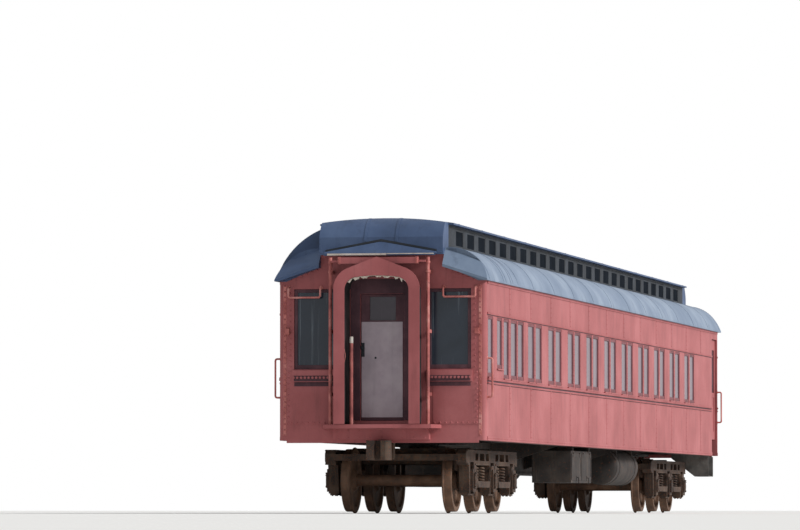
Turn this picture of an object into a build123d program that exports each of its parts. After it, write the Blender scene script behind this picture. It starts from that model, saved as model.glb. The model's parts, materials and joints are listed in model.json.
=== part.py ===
from build123d import *
import math
import os

# A heavyweight lounge car with a clerestory roof, in millimetres.
# The car lies along Y with its windowed lounge end at -Y and its vestibule end at +Y.
# Z is the height above the floor that the wheel flanges stand on.

# Running gear
rail_gap = 25.0
wheel_diameter = 914.0
wheel_width = 137.0
wheel_back_to_back = 1353.0
flange_height = 25.0
flange_width = 32.0
rim_height = 70.0
web_inset = 45.0
axle_diameter = 165.0
journal_diameter = 127.0
journal_spacing = 1930.0
truck_inset = 3132.0
truck_wheelbase = 3353.0
axle_box_width = 230.0
axle_box_length = 270.0
axle_box_height = 330.0
pedestal_gap = 6.0
frame_beam_width = 150.0
frame_bottom = 705.0
frame_top = 925.0
frame_overhang = 480.0
bolster_top = 985.0
centre_plate_radius = 230.0
plate_gap = 0.3

# Carbody
body_length = 24400.0
body_width = 3016.0
eave_overhang = 42.0
wall = 110.0
end_wall_thickness = 90.0
corner_radius = 60.0
side_sill_bottom = 1045.0
floor_bottom = 1265.0
floor_top = 1325.0
belt_height = 1940.0
eave_height = 3325.0
letterboard_height = 480.0
window_head_gap = 20.0
seat_gap = 0.3

# Side windows and their glass
pane_thickness = 8.0
pane_recess = 18.0
moulding_depth = 14.0

# Roof
deck_width = 650.0
clerestory_wall = 50.0
deck_thickness = 60.0
deck_rise = 475.0
deck_bulge = 148.0
deck_end_bulge = 12.0
upper_eave_rise = 815.0
upper_overhang = 80.0
upper_edge = 25.0
roof_rise = 915.0
upper_thickness = 50.0
deck_end_rise = 235.0
deck_end_thickness = 40.0
eave_lip = 22.0
deck_end_overhang = 150.0
roof_end_inset = 340.0
hood_overhang = 100.0
hood_bottom_rise = 375.0
hood_front_rise = 625.0
rain_hood_width = 1620.0
rain_hood_overhang = 220.0
rain_hood_front_rise = 390.0
rain_hood_apex_rise = 560.0
rain_hood_side_rise = 410.0
rain_hood_thickness = 18.0
duct_overhang = 90.0
duct_nose_rise = 30.0
duct_shoulder_rise = 279.0
duct_nose_length = 540.0
duct_slope = 260.0
duct_rear_gap = 900.0

# Diaphragm and its frame at each end
diaphragm_length = 450.0
plate_thickness = 20.0
plate_width = 1247.0
plate_opening_width = 933.0
plate_bottom = 1275.0
plate_peak_rise = 330.0
plate_shoulder_drop = 415.0
plate_opening_drop = 267.0
fold_count = 5
end_post_offset = 709.0
end_post_diameter = 50.0
end_post_protrusion = 240.0
header_beam_width = 1120.0
header_beam_height = 90.0
header_beam_rise = 237.0

# Doors
end_door_width = 640.0
end_door_drop = 185.0
end_door_thickness = 45.0
side_door_width = 700.0
side_door_drop = 145.0
vestibule_length = 1100.0
side_door_inset = 30.0
hinge_radius = 9.0
trap_thickness = 40.0

# Couplers
coupler_height = 901.0
coupler_reach = 400.0

rail_level = rail_gap
half_length = body_length / 2
truck_y = half_length - truck_inset
half_width = body_width / 2
half_eave = half_width + eave_overhang
half_clerestory = half_eave - deck_width
upper_eave_width = 2 * (half_clerestory + upper_overhang)
letterboard_bottom = eave_height - letterboard_height
window_top = letterboard_bottom - window_head_gap
side_door_top = eave_height - side_door_drop
end_door_height = eave_height - end_door_drop
deck_top = eave_height + deck_rise
deck_end_height = eave_height + deck_end_rise
upper_eave = eave_height + upper_eave_rise
roof_top = eave_height + roof_rise
hood_bottom = eave_height + hood_bottom_rise
hood_front_top = eave_height + hood_front_rise
rain_hood_front = eave_height + rain_hood_front_rise
rain_hood_apex = eave_height + rain_hood_apex_rise
rain_hood_side = eave_height + rain_hood_side_rise
plate_peak = eave_height + plate_peak_rise
plate_shoulder = plate_peak - plate_shoulder_drop
plate_opening_top = plate_peak - plate_opening_drop
header_beam_bottom = eave_height + header_beam_rise
wheel_radius = wheel_diameter / 2
axle_height = rail_level + wheel_radius
bulkhead_y = half_length - end_wall_thickness - vestibule_length
door_y = half_length - end_wall_thickness - side_door_inset - side_door_width / 2
door_low = door_y - side_door_width / 2
door_high = door_y + side_door_width / 2

planes = {"x": Plane.YZ, "y": Plane.XZ, "z": Plane.XY}
directions = {"x": Vector(1, 0, 0), "y": Vector(0, 1, 0), "z": Vector(0, 0, 1)}


def outline(start, *steps):
    """A flat face from a start point, where a step is a point or a pair of an arc's middle and end."""
    edges = []
    at = start
    for step in steps:
        if isinstance(step[0], tuple):
            edges.append(ThreePointArc(at, step[0], step[1]))
            at = step[1]
        else:
            edges.append(Line(at, step))
            at = step
    if at != start:
        edges.append(Line(at, start))
    return make_face(edges)


def bulged(start, end, height):
    """An arc's middle and end, where the arc stands out to the right of the line from start to end."""
    run = (end[0] - start[0], end[1] - start[1])
    length = math.hypot(*run)
    middle = ((start[0] + end[0]) / 2 + run[1] / length * height, (start[1] + end[1]) / 2 - run[0] / length * height)
    return (middle, end)


def place(face, axis, station):
    return Location(directions[axis] * station) * (planes[axis].location * face)


def bar(face, axis, low, high):
    """A flat outline drawn out along an axis from one station to another."""
    return extrude(place(face, axis, low), amount=high - low, dir=directions[axis])


def block(x, y, z):
    """A box from its low and high X, Y and Z."""
    centre = ((x[0] + x[1]) / 2, (y[0] + y[1]) / 2, (z[0] + z[1]) / 2)
    return Pos(*centre) * Box(x[1] - x[0], y[1] - y[0], z[1] - z[0])


def rod(start, end, diameter):
    """A round bar between two points."""
    line = Vector(*end) - Vector(*start)
    plane = Plane(origin=start, z_dir=line)
    return extrude(plane * Circle(diameter / 2), amount=line.length)


def fuse(pieces):
    whole = pieces[0]
    for piece in pieces[1:]:
        whole = whole + piece
    return whole


def mirror_x(shape):
    return mirror(shape, about=Plane.YZ)


def mirror_y(shape):
    return mirror(shape, about=Plane.XZ)


def both_sides(shape):
    return [shape, mirror_x(shape)]


def both_ends(shape):
    return [shape, mirror_y(shape)]


parts = {}


def keep(name, pieces):
    """Stores a node as one solid, or as several that don't touch."""
    parts[name] = pieces if isinstance(pieces, list) else [pieces]


# Side windows: start from the near end wall, width, sill height
first_windows = [
    (150.0, 420.0, 1955.0),
    (900.0, 420.0, 2085.0),
    (1460.0, 440.0, 1955.0),
    (2060.0, 520.0, 1955.0),
    (2670.0, 500.0, 1955.0),
]
pair_start = 3560.0
pair_pitch = 1830.0
pair_count = 10
pair_window_width = 560.0
pair_post = 110.0


def side_windows():
    """Each window's start and end along Y and its sill height."""
    found = []
    for start, width, sill in first_windows:
        found.append((start - half_length, start + width - half_length, sill))
    for pair in range(pair_count):
        for place_in_pair in range(2):
            start = pair_start + pair * pair_pitch
            start += place_in_pair * (pair_window_width + pair_post) - half_length
            if start + pair_window_width < bulkhead_y - 150:
                found.append((start, start + pair_window_width, 1955.0))
    return found


def side_wall():
    """The right-hand wall with its windows, mouldings and vestibule doorway."""
    y_low = -half_length + end_wall_thickness
    y_high = half_length - end_wall_thickness
    x_in = half_width - wall
    wall_solid = block((x_in, half_width), (y_low, y_high), (side_sill_bottom, eave_height))
    corner_plan = outline(
        (x_in, -half_length),
        (half_width - corner_radius, -half_length),
        ((half_width - corner_radius * 0.293, -half_length + corner_radius * 0.293),
         (half_width, -half_length + corner_radius)),
        (half_width, y_low),
        (x_in, y_low),
    )
    corner = bar(corner_plan, "z", side_sill_bottom, eave_height)
    wall_solid = wall_solid + corner + mirror_y(corner)
    # Mouldings: bottom height, top height, how far each stands out
    mouldings = [
        (side_sill_bottom, side_sill_bottom + 60.0, 10.0),
        (belt_height - 85.0, belt_height - 60.0, moulding_depth),
        (belt_height - 35.0, belt_height - 5.0, moulding_depth + 6.0),
        (letterboard_bottom, letterboard_bottom + 28.0, moulding_depth),
        (eave_height - 40.0, eave_height, 12.0),
    ]
    for low, high, depth in mouldings:
        strip = block((half_width - 1, half_width + depth), (y_low, y_high), (low, high))
        wall_solid = wall_solid + strip
    for start, end, sill in side_windows():
        wall_solid = wall_solid - block((x_in - 5, half_width + 40), (start, end), (sill, window_top))
    doorway = block(
        (x_in - 5, half_width + 40),
        (door_low, door_high),
        (side_sill_bottom - 5, side_door_top),
    )
    return wall_solid - doorway


def side_glass():
    """One pane in each window of the right-hand wall."""
    panes = []
    x_out = half_width - pane_recess
    for start, end, sill in side_windows():
        panes.append(block(
            (x_out - pane_thickness, x_out),
            (start + seat_gap, end - seat_gap),
            (sill + seat_gap, window_top - seat_gap),
        ))
    return panes


right_wall = side_wall()
keep("right_side_wall", right_wall)
keep("left_side_wall", mirror_x(right_wall))
right_panes = side_glass()
keep("right_side_glass", right_panes)
keep("left_side_glass", [mirror_x(pane) for pane in right_panes])


def lowered(point, drop):
    return (point[0], point[1] - drop)


def deck_inner_arc(top, thickness, bulge, drop):
    """The underside of a deck from the side wall up to the clerestory: start, middle and end."""
    foot = lowered((half_width - wall, eave_height), drop)
    high = lowered((half_clerestory, top - thickness), drop)
    middle, end = bulged(foot, high, bulge * (1 - thickness / (top - eave_height)))
    return foot, middle, end


def deck_section(top, thickness, bulge):
    """The side deck from the wall's inner face and the eave up to the clerestory at a height."""
    foot, middle, high = deck_inner_arc(top, thickness, bulge, 0)
    eave = (half_eave, eave_height + eave_lip)
    return outline(
        foot,
        (half_eave, eave_height),
        eave,
        bulged(eave, (half_clerestory, top), bulge),
        high,
        (middle, foot),
    )


def full_deck_section():
    return deck_section(deck_top, deck_thickness, deck_bulge)


def under_slope(shape, drop):
    """What lies under the tilted plane that rises from the lip's edge to the full deck, lowered by a drop."""
    y_end = -half_length - deck_end_overhang
    y_full = -half_length + end_wall_thickness
    eave = Vector(half_eave, y_end, eave_height + eave_lip - drop)
    end_high = Vector(half_clerestory, y_end, deck_end_height - drop)
    full_high = Vector(half_clerestory, y_full, deck_top - drop)
    normal = (full_high - end_high).cross(eave - end_high)
    if normal.Z < 0:
        normal = normal * -1
    return split(shape, bisect_by=Plane(origin=end_high, z_dir=normal), keep=Keep.BOTTOM)


def deck_fill(drop, foot):
    """Everything under the right-hand deck's arch, from a foot on the eave up to the clerestory."""
    low = lowered(foot, drop)
    high = (half_clerestory, deck_top - drop)
    bulge = deck_bulge * (1 - drop / deck_rise)
    return outline(
        (half_clerestory, eave_height - 100.0),
        (foot[0], eave_height - 100.0),
        low,
        bulged(low, high, bulge),
    )


def side_deck():
    """The right-hand lower deck, which slopes down over each end wall to a thin overhanging lip."""
    y_end = half_length - end_wall_thickness
    y_lip = half_length + deck_end_overhang
    inner_x = half_clerestory - 1.0
    outer_x = half_eave + 1.0
    floor = eave_height - 150.0
    full = bar(full_deck_section(), "y", -y_end, y_end)
    slope = under_slope(bar(deck_fill(0, (half_eave, eave_height + eave_lip)), "y", -y_lip, -y_end), 0)
    foot, middle, high = deck_inner_arc(deck_end_height, deck_end_thickness, deck_end_bulge, 0)
    soffit = outline(
        (inner_x, floor),
        (outer_x, floor),
        (outer_x, eave_height),
        (half_eave - 55.0, eave_height),
        (inner_x, high[1]),
    )
    over_wall = outline(
        (inner_x, floor),
        (outer_x, floor),
        (outer_x, eave_height),
        foot,
        (middle, high),
        (inner_x, high[1]),
    )
    end = slope - bar(soffit, "y", -y_lip - 1, -half_length) - bar(over_wall, "y", -half_length, -y_end)
    return full + end + mirror_y(end)


right_deck = side_deck()
keep("right_side_deck", right_deck)
keep("left_side_deck", mirror_x(right_deck))


def air_duct():
    """The duct on the left-hand deck, from the eave up to the clerestory eave, with a long sloping nose."""
    shoulder = (half_eave - 2.0, eave_height + duct_shoulder_rise)
    shape = outline(
        (half_clerestory + seat_gap, eave_height),
        (half_eave - 2.0, eave_height),
        shoulder,
        bulged(shoulder, (half_clerestory + 108.0, upper_eave - 35.0), 66.0),
        (half_clerestory + seat_gap, upper_eave - 28.0),
    )
    y_low = -half_length - duct_overhang
    y_high = half_length - duct_rear_gap
    duct = bar(shape, "y", y_low, y_high)
    run = outline(
        (y_low, eave_height),
        (y_low, eave_height + duct_nose_rise),
        (y_low + duct_nose_length, eave_height + duct_shoulder_rise),
        (y_low + duct_nose_length + 150.0, upper_eave - 10.0),
        (y_high - duct_slope, upper_eave - 10.0),
        (y_high, eave_height + 235.0),
        (y_high, eave_height),
    )
    duct = duct & bar(run, "x", half_clerestory, half_eave)
    return mirror_x(duct)


def lifted(shape):
    return Pos(0, 0, seat_gap) * shape


def under_deck(top, bulge):
    """Everything up to just above a right-hand deck that meets the clerestory at a height."""
    eave = lowered((half_eave, eave_height + eave_lip), -seat_gap)
    high = lowered((half_clerestory, top), -seat_gap)
    return outline(
        (half_clerestory - 200.0, eave_height - 200.0),
        (half_eave, eave_height - 200.0),
        eave,
        bulged(eave, high, bulge),
        (half_clerestory - 200.0, high[1]),
    )


def under_duct():
    """What the duct stands on: the full deck and its slope down to the lip."""
    y_end = half_length - end_wall_thickness
    full = under_deck(deck_top, deck_bulge)
    slope = under_slope(bar(full, "y", -half_length - deck_end_overhang, -y_end), -seat_gap)
    return bar(full, "y", -y_end, y_end) + slope


duct = air_duct() - mirror_x(under_duct()) - lifted(mirror_x(right_deck))
duct_solids = sorted(duct.solids(), key=lambda solid: -solid.volume)
keep("air_duct", duct_solids[0])


def upper_section(width, drop, height):
    """The arch of the upper roof, between two eaves, from its underside's drop to its height."""
    return outline(
        (-width / 2, drop),
        ((0, height), (width / 2, drop)),
    )


def upper_roof():
    y = half_length - roof_end_inset
    section = outline(
        (-half_clerestory + clerestory_wall, upper_eave),
        (-upper_eave_width / 2, upper_eave),
        (-upper_eave_width / 2, upper_eave + upper_edge),
        ((0, roof_top), (upper_eave_width / 2, upper_eave + upper_edge)),
        (upper_eave_width / 2, upper_eave),
        (half_clerestory - clerestory_wall, upper_eave),
        ((0, roof_top - upper_thickness), (-half_clerestory + clerestory_wall, upper_eave)),
    )
    return bar(section, "y", -y, y)


keep("upper_roof", upper_roof())

# Clerestory windows: blanked recesses along each side wall
recess_length = 620.0
recess_pitch = 915.0
recess_bottom = deck_top + 35.0
recess_top = upper_eave - 35.0
recess_depth = 12.0


def clerestory_side():
    """The right-hand wall of the clerestory with its blanked windows."""
    y = half_length - roof_end_inset
    x = (half_clerestory - clerestory_wall, half_clerestory)
    side = block(x, (-y, y), (deck_top - deck_thickness, upper_eave))
    count = int((2 * y - 200) // recess_pitch)
    for index in range(count):
        centre = (index - (count - 1) / 2) * recess_pitch
        span = (centre - recess_length / 2, centre + recess_length / 2)
        side = side - block((x[1] - recess_depth, x[1] + 5), span, (recess_bottom, recess_top))
    return side


keep("clerestory_walls", both_sides(clerestory_side()))


def hood_outline(inset, floor, back):
    """The side view of a roof end at -Y, set in by a wall."""
    y_front = -half_length - hood_overhang
    y_back = -half_length + roof_end_inset
    y_wall = -half_length + end_wall_thickness
    if inset == 0:
        low = [
            (y_back, deck_top - deck_thickness),
            (y_wall, deck_end_height - 40.0),
            (y_wall, floor),
        ]
    else:
        low = [
            (y_back + back, deck_top - 500.0),
            (y_wall, deck_top - 500.0),
            (y_wall, floor),
        ]
    return outline(
        (y_front + inset, floor),
        (y_front + inset, hood_front_top - inset * 0.6),
        ((y_front + 125.0 + inset * 0.7, roof_top - 120.0 - inset * 0.6),
         (y_back + back, roof_top + 4.0 - inset)),
        *low,
    )


def roof_end():
    """The bull-nosed end of the clerestory at -Y, hollow, with cheeks down to the side decks."""
    y_front = -half_length - hood_overhang
    y_back = -half_length + roof_end_inset
    half = half_clerestory
    arch = outline(
        (-half, eave_height + 75.0),
        (-half, upper_eave + upper_edge + 5.0),
        ((0, roof_top), (half, upper_eave + upper_edge + 5.0)),
        (half, eave_height + 75.0),
    )
    inner_half = half - clerestory_wall
    inner_arch = outline(
        (-inner_half, eave_height - 25.0),
        (-inner_half, upper_eave - 20.0),
        ((0, roof_top - upper_thickness), (inner_half, upper_eave - 20.0)),
        (inner_half, eave_height - 25.0),
    )
    solid = bar(arch, "y", y_front, y_back) & bar(hood_outline(0, hood_bottom, 0), "x", -half, half)
    inner = bar(inner_arch, "y", y_front - 10, y_back + 10)
    inner = inner & bar(hood_outline(clerestory_wall, hood_bottom + 25.0, 20.0), "x", -half, half)
    return solid - inner


near_roof_end = roof_end()
keep("roof_ends", both_ends(near_roof_end))


def rain_hood():
    """A gabled plate over the diaphragm at -Y, hipped down to a level drip edge in front."""
    half = rain_hood_width / 2
    y_back = -half_length - hood_overhang
    y_front = -half_length - rain_hood_overhang
    floor = rain_hood_front - 100.0

    def under(drop):
        gable = outline(
            (-half, floor - drop),
            (-half, rain_hood_side - drop),
            (0, rain_hood_apex - drop),
            (half, rain_hood_side - drop),
            (half, floor - drop),
        )
        hip = outline(
            (y_front, floor - drop),
            (y_front, rain_hood_front - drop),
            (y_back, rain_hood_apex - drop),
            (y_back, floor - drop),
        )
        return bar(gable, "y", y_front, y_back) & bar(hip, "x", -half, half)

    lip = block((-half, half), (y_front - 8, y_front), (rain_hood_front - 32.0, rain_hood_front))
    return under(0) - under(rain_hood_thickness) + lip


keep("rain_hoods", both_ends(rain_hood()))

# End wall openings
end_window_width = 630.0
end_window_outer = half_width - 218.0
end_window_inner = end_window_outer - end_window_width
end_window_sill = 2065.0
end_window_head = eave_height - 110.0


def end_wall_outline():
    x = half_width - wall
    foot, middle, high = deck_inner_arc(deck_end_height, deck_end_thickness, deck_end_bulge, seat_gap)
    return outline(
        (x, side_sill_bottom),
        foot,
        (middle, high),
        (half_clerestory, hood_bottom),
        (-half_clerestory, hood_bottom),
        (-high[0], high[1]),
        ((-middle[0], middle[1]), (-foot[0], foot[1])),
        (-x, side_sill_bottom),
    )


def end_wall(windows):
    """The end wall at -Y with its doorway and, at the lounge end, two windows."""
    y = (-half_length, -half_length + end_wall_thickness)
    sheet = bar(end_wall_outline(), "y", *y)
    cut_y = (y[0] - 50, y[1] + 50)
    sheet = sheet - block((-end_door_width / 2, end_door_width / 2), cut_y, (floor_top, end_door_height))
    if windows:
        for x in ((end_window_inner, end_window_outer), (-end_window_outer, -end_window_inner)):
            sheet = sheet - block(x, cut_y, (end_window_sill, end_window_head))
    # Lower apron plate and the sill ledge under each window: low X, high X, low Z, high Z, depth
    ledges = [
        (end_window_inner + 80.0, half_width - 118.0, plate_bottom, end_window_sill - 25.0, 6.0),
        (end_window_inner - 10.0, end_window_outer + 20.0, end_window_sill - 180.0, end_window_sill - 15.0, 45.0),
    ]
    for low, high, bottom, top, depth in ledges:
        plate = block((low, high), (y[0] - depth, y[0]), (bottom, top))
        sheet = sheet + plate + mirror_x(plate)
    return sheet


near_wall = end_wall(True)
keep("near_end_wall", near_wall)
far_wall = mirror_y(end_wall(False))
keep("far_end_wall", far_wall)


def end_glass():
    pane = block(
        (end_window_inner + seat_gap, end_window_outer - seat_gap),
        (-half_length + 30.0, -half_length + 30.0 + pane_thickness),
        (end_window_sill + seat_gap, end_window_head - seat_gap),
    )
    return both_sides(pane)


keep("end_window_glass", end_glass())

# Steps at the vestibule end, each tread below the last: drop from the floor, reach in from the side
step_rise = 240.0
step_depth = 250.0
step_low = door_low + 20.0
step_high = door_high - 60.0
step_count = 3
trap_length = 640.0


def floor_plate():
    """The floor between the walls, cut back over the steps."""
    x = half_width - wall
    y = half_length - end_wall_thickness
    plate = block((-x, x), (-y, y), (floor_bottom, floor_top))
    for side in (-1, 1):
        low, high = sorted((side * (x + 1), side * (x - trap_length)))
        plate = plate - block((low, high), (step_low, step_high), (floor_bottom - 5, floor_top + 5))
    return plate


keep("floor", floor_plate())


def vestibule_steps():
    """Right-hand steps with closed sides, hung from the floor."""
    x_in = half_width - wall - trap_length
    x_out = half_width - 5.0
    y = (step_low, step_high)
    plate = 12.0
    pieces = []
    for index in range(step_count):
        top = floor_bottom - 20.0 - step_rise * (index + 1) + 150.0
        inner = x_in + index * step_depth * 0.86
        pieces.append(block((inner, inner + step_depth), y, (top - plate, top)))
        riser_top = top + step_rise if index else floor_bottom
        pieces.append(block((inner, inner + plate), y, (top - plate, riser_top)))
    lowest = floor_bottom - 20.0 - step_rise * step_count + 150.0
    side_outline = outline(
        (x_in, floor_bottom),
        (x_in, floor_bottom - step_rise - 30.0),
        (x_in + 2 * step_depth * 0.86, lowest - plate),
        (x_in + 2 * step_depth * 0.86 + step_depth, lowest - plate),
        (x_in + 2 * step_depth * 0.86 + step_depth, side_sill_bottom - 20.0),
        (x_out - wall - 20.0, side_sill_bottom - 20.0),
        (x_out - wall - 20.0, floor_bottom),
    )
    for station in (y[0] - plate, y[1]):
        pieces.append(bar(side_outline, "y", station, station + plate))
    return fuse(pieces)


steps = vestibule_steps()
keep("vestibule_steps", both_sides(steps))


# Underframe: fish-belly centre sill, side sills, cross bearers and bolsters
centre_sill_width = 460.0
side_sill_width = 120.0
sill_end_gap = 1500.0
centre_sill_shallow = 1030.0
centre_sill_deep = 640.0
belly_start = 3050.0
belly_full = 4000.0
cross_bearers = [-4600.0, -1550.0, 1550.0, 4600.0]


def centre_sill():
    """The fish-belly beam with its bottom flange, and the shallow beams over the trucks with their centre plates."""
    half = centre_sill_width / 2
    y_shallow = truck_y - belly_start
    y_deep = truck_y - belly_full
    belly = outline(
        (-y_shallow, floor_bottom),
        (-y_shallow, centre_sill_shallow),
        (-y_deep, centre_sill_deep),
        (y_deep, centre_sill_deep),
        (y_shallow, centre_sill_shallow),
        (y_shallow, floor_bottom),
    )
    flange = block((-half - 60.0, half + 60.0), (-y_deep, y_deep), (centre_sill_deep - 20.0, centre_sill_deep))
    middle = bar(belly, "x", -half, half) + flange
    y = (-half_length + end_wall_thickness, -y_shallow - seat_gap)
    beam = block((-half, half), y, (centre_sill_shallow, floor_bottom))
    height = centre_sill_shallow - bolster_top - plate_gap
    seat = Pos(0, -truck_y, bolster_top + plate_gap)
    plate = seat * Cylinder(centre_plate_radius, height, align=(Align.CENTER, Align.CENTER, Align.MIN))
    return [middle] + both_ends(beam + plate)


def underframe():
    """Side sills, cross bearers, body bolsters and the near end beam, each butted against its neighbours."""
    x_out = half_width - wall
    x_sill = x_out - side_sill_width
    x_low = centre_sill_width / 2 + seat_gap
    x_high = x_sill - seat_gap
    near_end = -half_length + end_wall_thickness
    pieces = [block((x_sill, x_out), (near_end, half_length - sill_end_gap), (side_sill_bottom, floor_bottom))]
    bearer = outline(
        (x_low, floor_bottom),
        (x_low, centre_sill_deep + 60.0),
        (x_high, side_sill_bottom),
        (x_high, floor_bottom),
    )
    for station in cross_bearers:
        pieces.append(bar(bearer, "y", station - 15.0, station + 15.0))
    for y in (-truck_y, truck_y):
        pieces.append(block((x_low, x_high), (y - 260.0, y + 260.0), (side_sill_bottom, floor_bottom)))
    pieces.append(block((x_low, x_high), (near_end, near_end + 150.0), (side_sill_bottom, floor_bottom)))
    return pieces + [mirror_x(piece) for piece in pieces]


keep("centre_sill", centre_sill())
keep("underframe", underframe())


def end_platform():
    """The end sill at -Y that carries the buffer plate under the diaphragm."""
    y = -half_length
    sill = block((-half_width + wall, half_width - wall), (y, y + 40.0), (side_sill_bottom - 35.0, side_sill_bottom))
    buffer_plan = outline(
        (-860.0, y),
        (-780.0, y - diaphragm_length + 90.0),
        ((0, y - diaphragm_length + 20.0), (780.0, y - diaphragm_length + 90.0)),
        (860.0, y),
    )
    plate = bar(buffer_plan, "z", plate_bottom - 60.0, plate_bottom - 6.0)
    apron = block((-700.0, 700.0), (y - 120.0, y), (side_sill_bottom + 12.0, plate_bottom - 60.0))
    face = block((-700.0, 700.0), (y - 12.0, y), (side_sill_bottom - 35.0, plate_bottom - 60.0))
    return sill + plate + apron + face


platform = end_platform()
keep("end_platforms", both_ends(platform))


def plate_outline():
    """The face plate's upright sides, round shoulders and low gable."""
    half = plate_width / 2
    bend = ((half - 64.0, plate_peak - 265.0), (half - 203.0, plate_peak - 160.0))
    return outline(
        (half, plate_bottom),
        (half, plate_shoulder),
        bend,
        (0, plate_peak),
        (-bend[1][0], bend[1][1]),
        ((-bend[0][0], bend[0][1]), (-half, plate_shoulder)),
        (-half, plate_bottom),
    )


def opening_arch():
    """The passage through the face plate: a low curved head with round corners."""
    half = plate_opening_width / 2
    top = plate_opening_top
    corner = (half - 41.0, top - 88.0)
    head = (half - 146.0, top - 22.0)
    return outline(
        (half, plate_bottom - 50),
        (half, top - 198.0),
        (corner, head),
        ((0, top), (-head[0], head[1])),
        ((-corner[0], corner[1]), (-half, top - 198.0)),
        (-half, plate_bottom - 50),
    )


def face_plate():
    y = -half_length - diaphragm_length
    sheet = bar(plate_outline(), "y", y, y + plate_thickness)
    return sheet - bar(opening_arch(), "y", y - 5, y + plate_thickness + 5)


keep("diaphragm_plates", both_ends(face_plate()))


def pleat(inset, peak):
    """A pleat's outline, set in from the face plate: upright sides, cut corners and a low gable."""
    half = plate_width / 2 - inset
    shoulder = plate_shoulder - inset
    right = [(half, plate_bottom), (half, shoulder), (half - 60.0, shoulder + 145.0), (half - 190.0, shoulder + 235.0)]
    left = [(-x, z) for x, z in reversed(right)]
    return outline(right[0], *right[1:], (0, peak), *left)


def bellows():
    """Pleated walls between the end wall and the face plate at -Y."""
    start = -half_length
    end = -half_length - diaphragm_length + plate_thickness
    pitch = (end - start) / fold_count
    wide = pleat(30.0, header_beam_bottom - 8.0)
    slim = pleat(65.0, header_beam_bottom - 48.0)
    pieces = []
    for index in range(fold_count):
        fold = start + index * pitch
        pieces.append(bar(slim, "y", fold + pitch * 0.5, fold))
        pieces.append(bar(wide, "y", fold + pitch, fold + pitch * 0.5))
    solid = fuse(pieces)
    return solid - bar(opening_arch(), "y", end - 5, start + 5)


keep("diaphragm_bellows", both_ends(bellows()))


def end_posts():
    """The two upright pipes beside the diaphragm at -Y with the brackets that tie them to the wall."""
    y = -half_length - end_post_protrusion
    posts = []
    for side in (-1, 1):
        x = side * end_post_offset
        post = rod((x, y, plate_bottom - 6.0), (x, y, rain_hood_front - 60.0), end_post_diameter)
        for height in (belt_height - 240.0, belt_height + 660.0, eave_height + 125.0):
            low, high = sorted((x - 12.0, x + 12.0))
            post = post + block((low, high), (y, -half_length), (height - 25.0, height + 25.0))
        posts.append(post)
    return posts


def header_beam():
    """The beam behind the peak of the face plate, with its ends carried by the posts."""
    y = -half_length - end_post_protrusion - 70.0
    half = header_beam_width / 2
    beam = block((-half, half), (y - 35.0, y + 35.0), (header_beam_bottom, header_beam_bottom + header_beam_height))
    for side in (-1, 1):
        low, high = sorted((side * (half - 40.0), side * (end_post_offset - end_post_diameter / 2 - seat_gap)))
        beam = beam + block((low, high), (y + 5.0, y + 95.0), (header_beam_bottom + 20, header_beam_bottom + 50))
    return beam


keep("end_posts", end_posts() + [mirror_y(post) for post in end_posts()])
keep("header_beams", both_ends(header_beam()))


def mitred_rod(points, diameter):
    """A round bar along straight runs with mitred corners."""
    path = Polyline(*points)
    start = Plane(origin=path @ 0, z_dir=path % 0)
    return sweep(start * Circle(diameter / 2), path=path, transition=Transition.RIGHT)


grab_diameter = 28.0
grab_reach = 75.0
level_foot_drop = 90.0
level_grab_drop = 232.0
level_grab_reach = 60.0
upright_grab_length = 555.0


def level_irons():
    """The irons over the two end windows, each hung from two feet above the window's head."""
    y = -half_length
    out = y - level_grab_reach
    foot = eave_height - level_foot_drop
    z = eave_height - level_grab_drop
    inner = half_width - 612.0
    outer = half_width - 146.0
    path = [(inner, y, foot), (inner, out, foot), (inner, out, z), (outer, out, z), (outer, out, foot),
            (outer, y, foot)]
    return both_sides(mitred_rod(path, grab_diameter))


def upright_irons():
    """The irons on the sides at the -Y corners."""
    y = -half_length
    pieces = []
    for side in (-1, 1):
        x = side * half_width
        reach = side * (half_width + grab_reach)
        high = belt_height + upright_grab_length / 2
        low = belt_height - upright_grab_length / 2
        upright = mitred_rod(
            [(x, y + 90.0, high), (reach, y + 90.0, high), (reach, y + 90.0, low), (x, y + 90.0, low)],
            grab_diameter)
        pieces.append(upright)
    return pieces


near_irons = upright_irons()
keep("grab_irons", level_irons() + near_irons + [mirror_y(piece) for piece in near_irons])


def marker_brackets():
    """Right-hand and left-hand sockets for marker lamps at -Y."""
    y = -half_length
    x = (half_width - 138.0, half_width - 113.0)
    z = belt_height + 665.0
    base = block(x, (y - 8.0, y), (z - 50.0, z + 50.0))
    socket = block(x, (y - 60.0, y - 8.0), (z - 15.0, z + 15.0))
    return both_sides(base + socket)


near_brackets = marker_brackets()
keep("marker_brackets", near_brackets + [mirror_y(piece) for piece in near_brackets])


def gate_post():
    """A short post for a gate across the near passage."""
    x = -plate_opening_width / 2 + 76.5
    y = -half_length - 300.0
    post = rod((x, y, plate_bottom - 6.0), (x, y, floor_top + 1195.0), 50.0)
    return post


keep("gate_post", gate_post())


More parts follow.
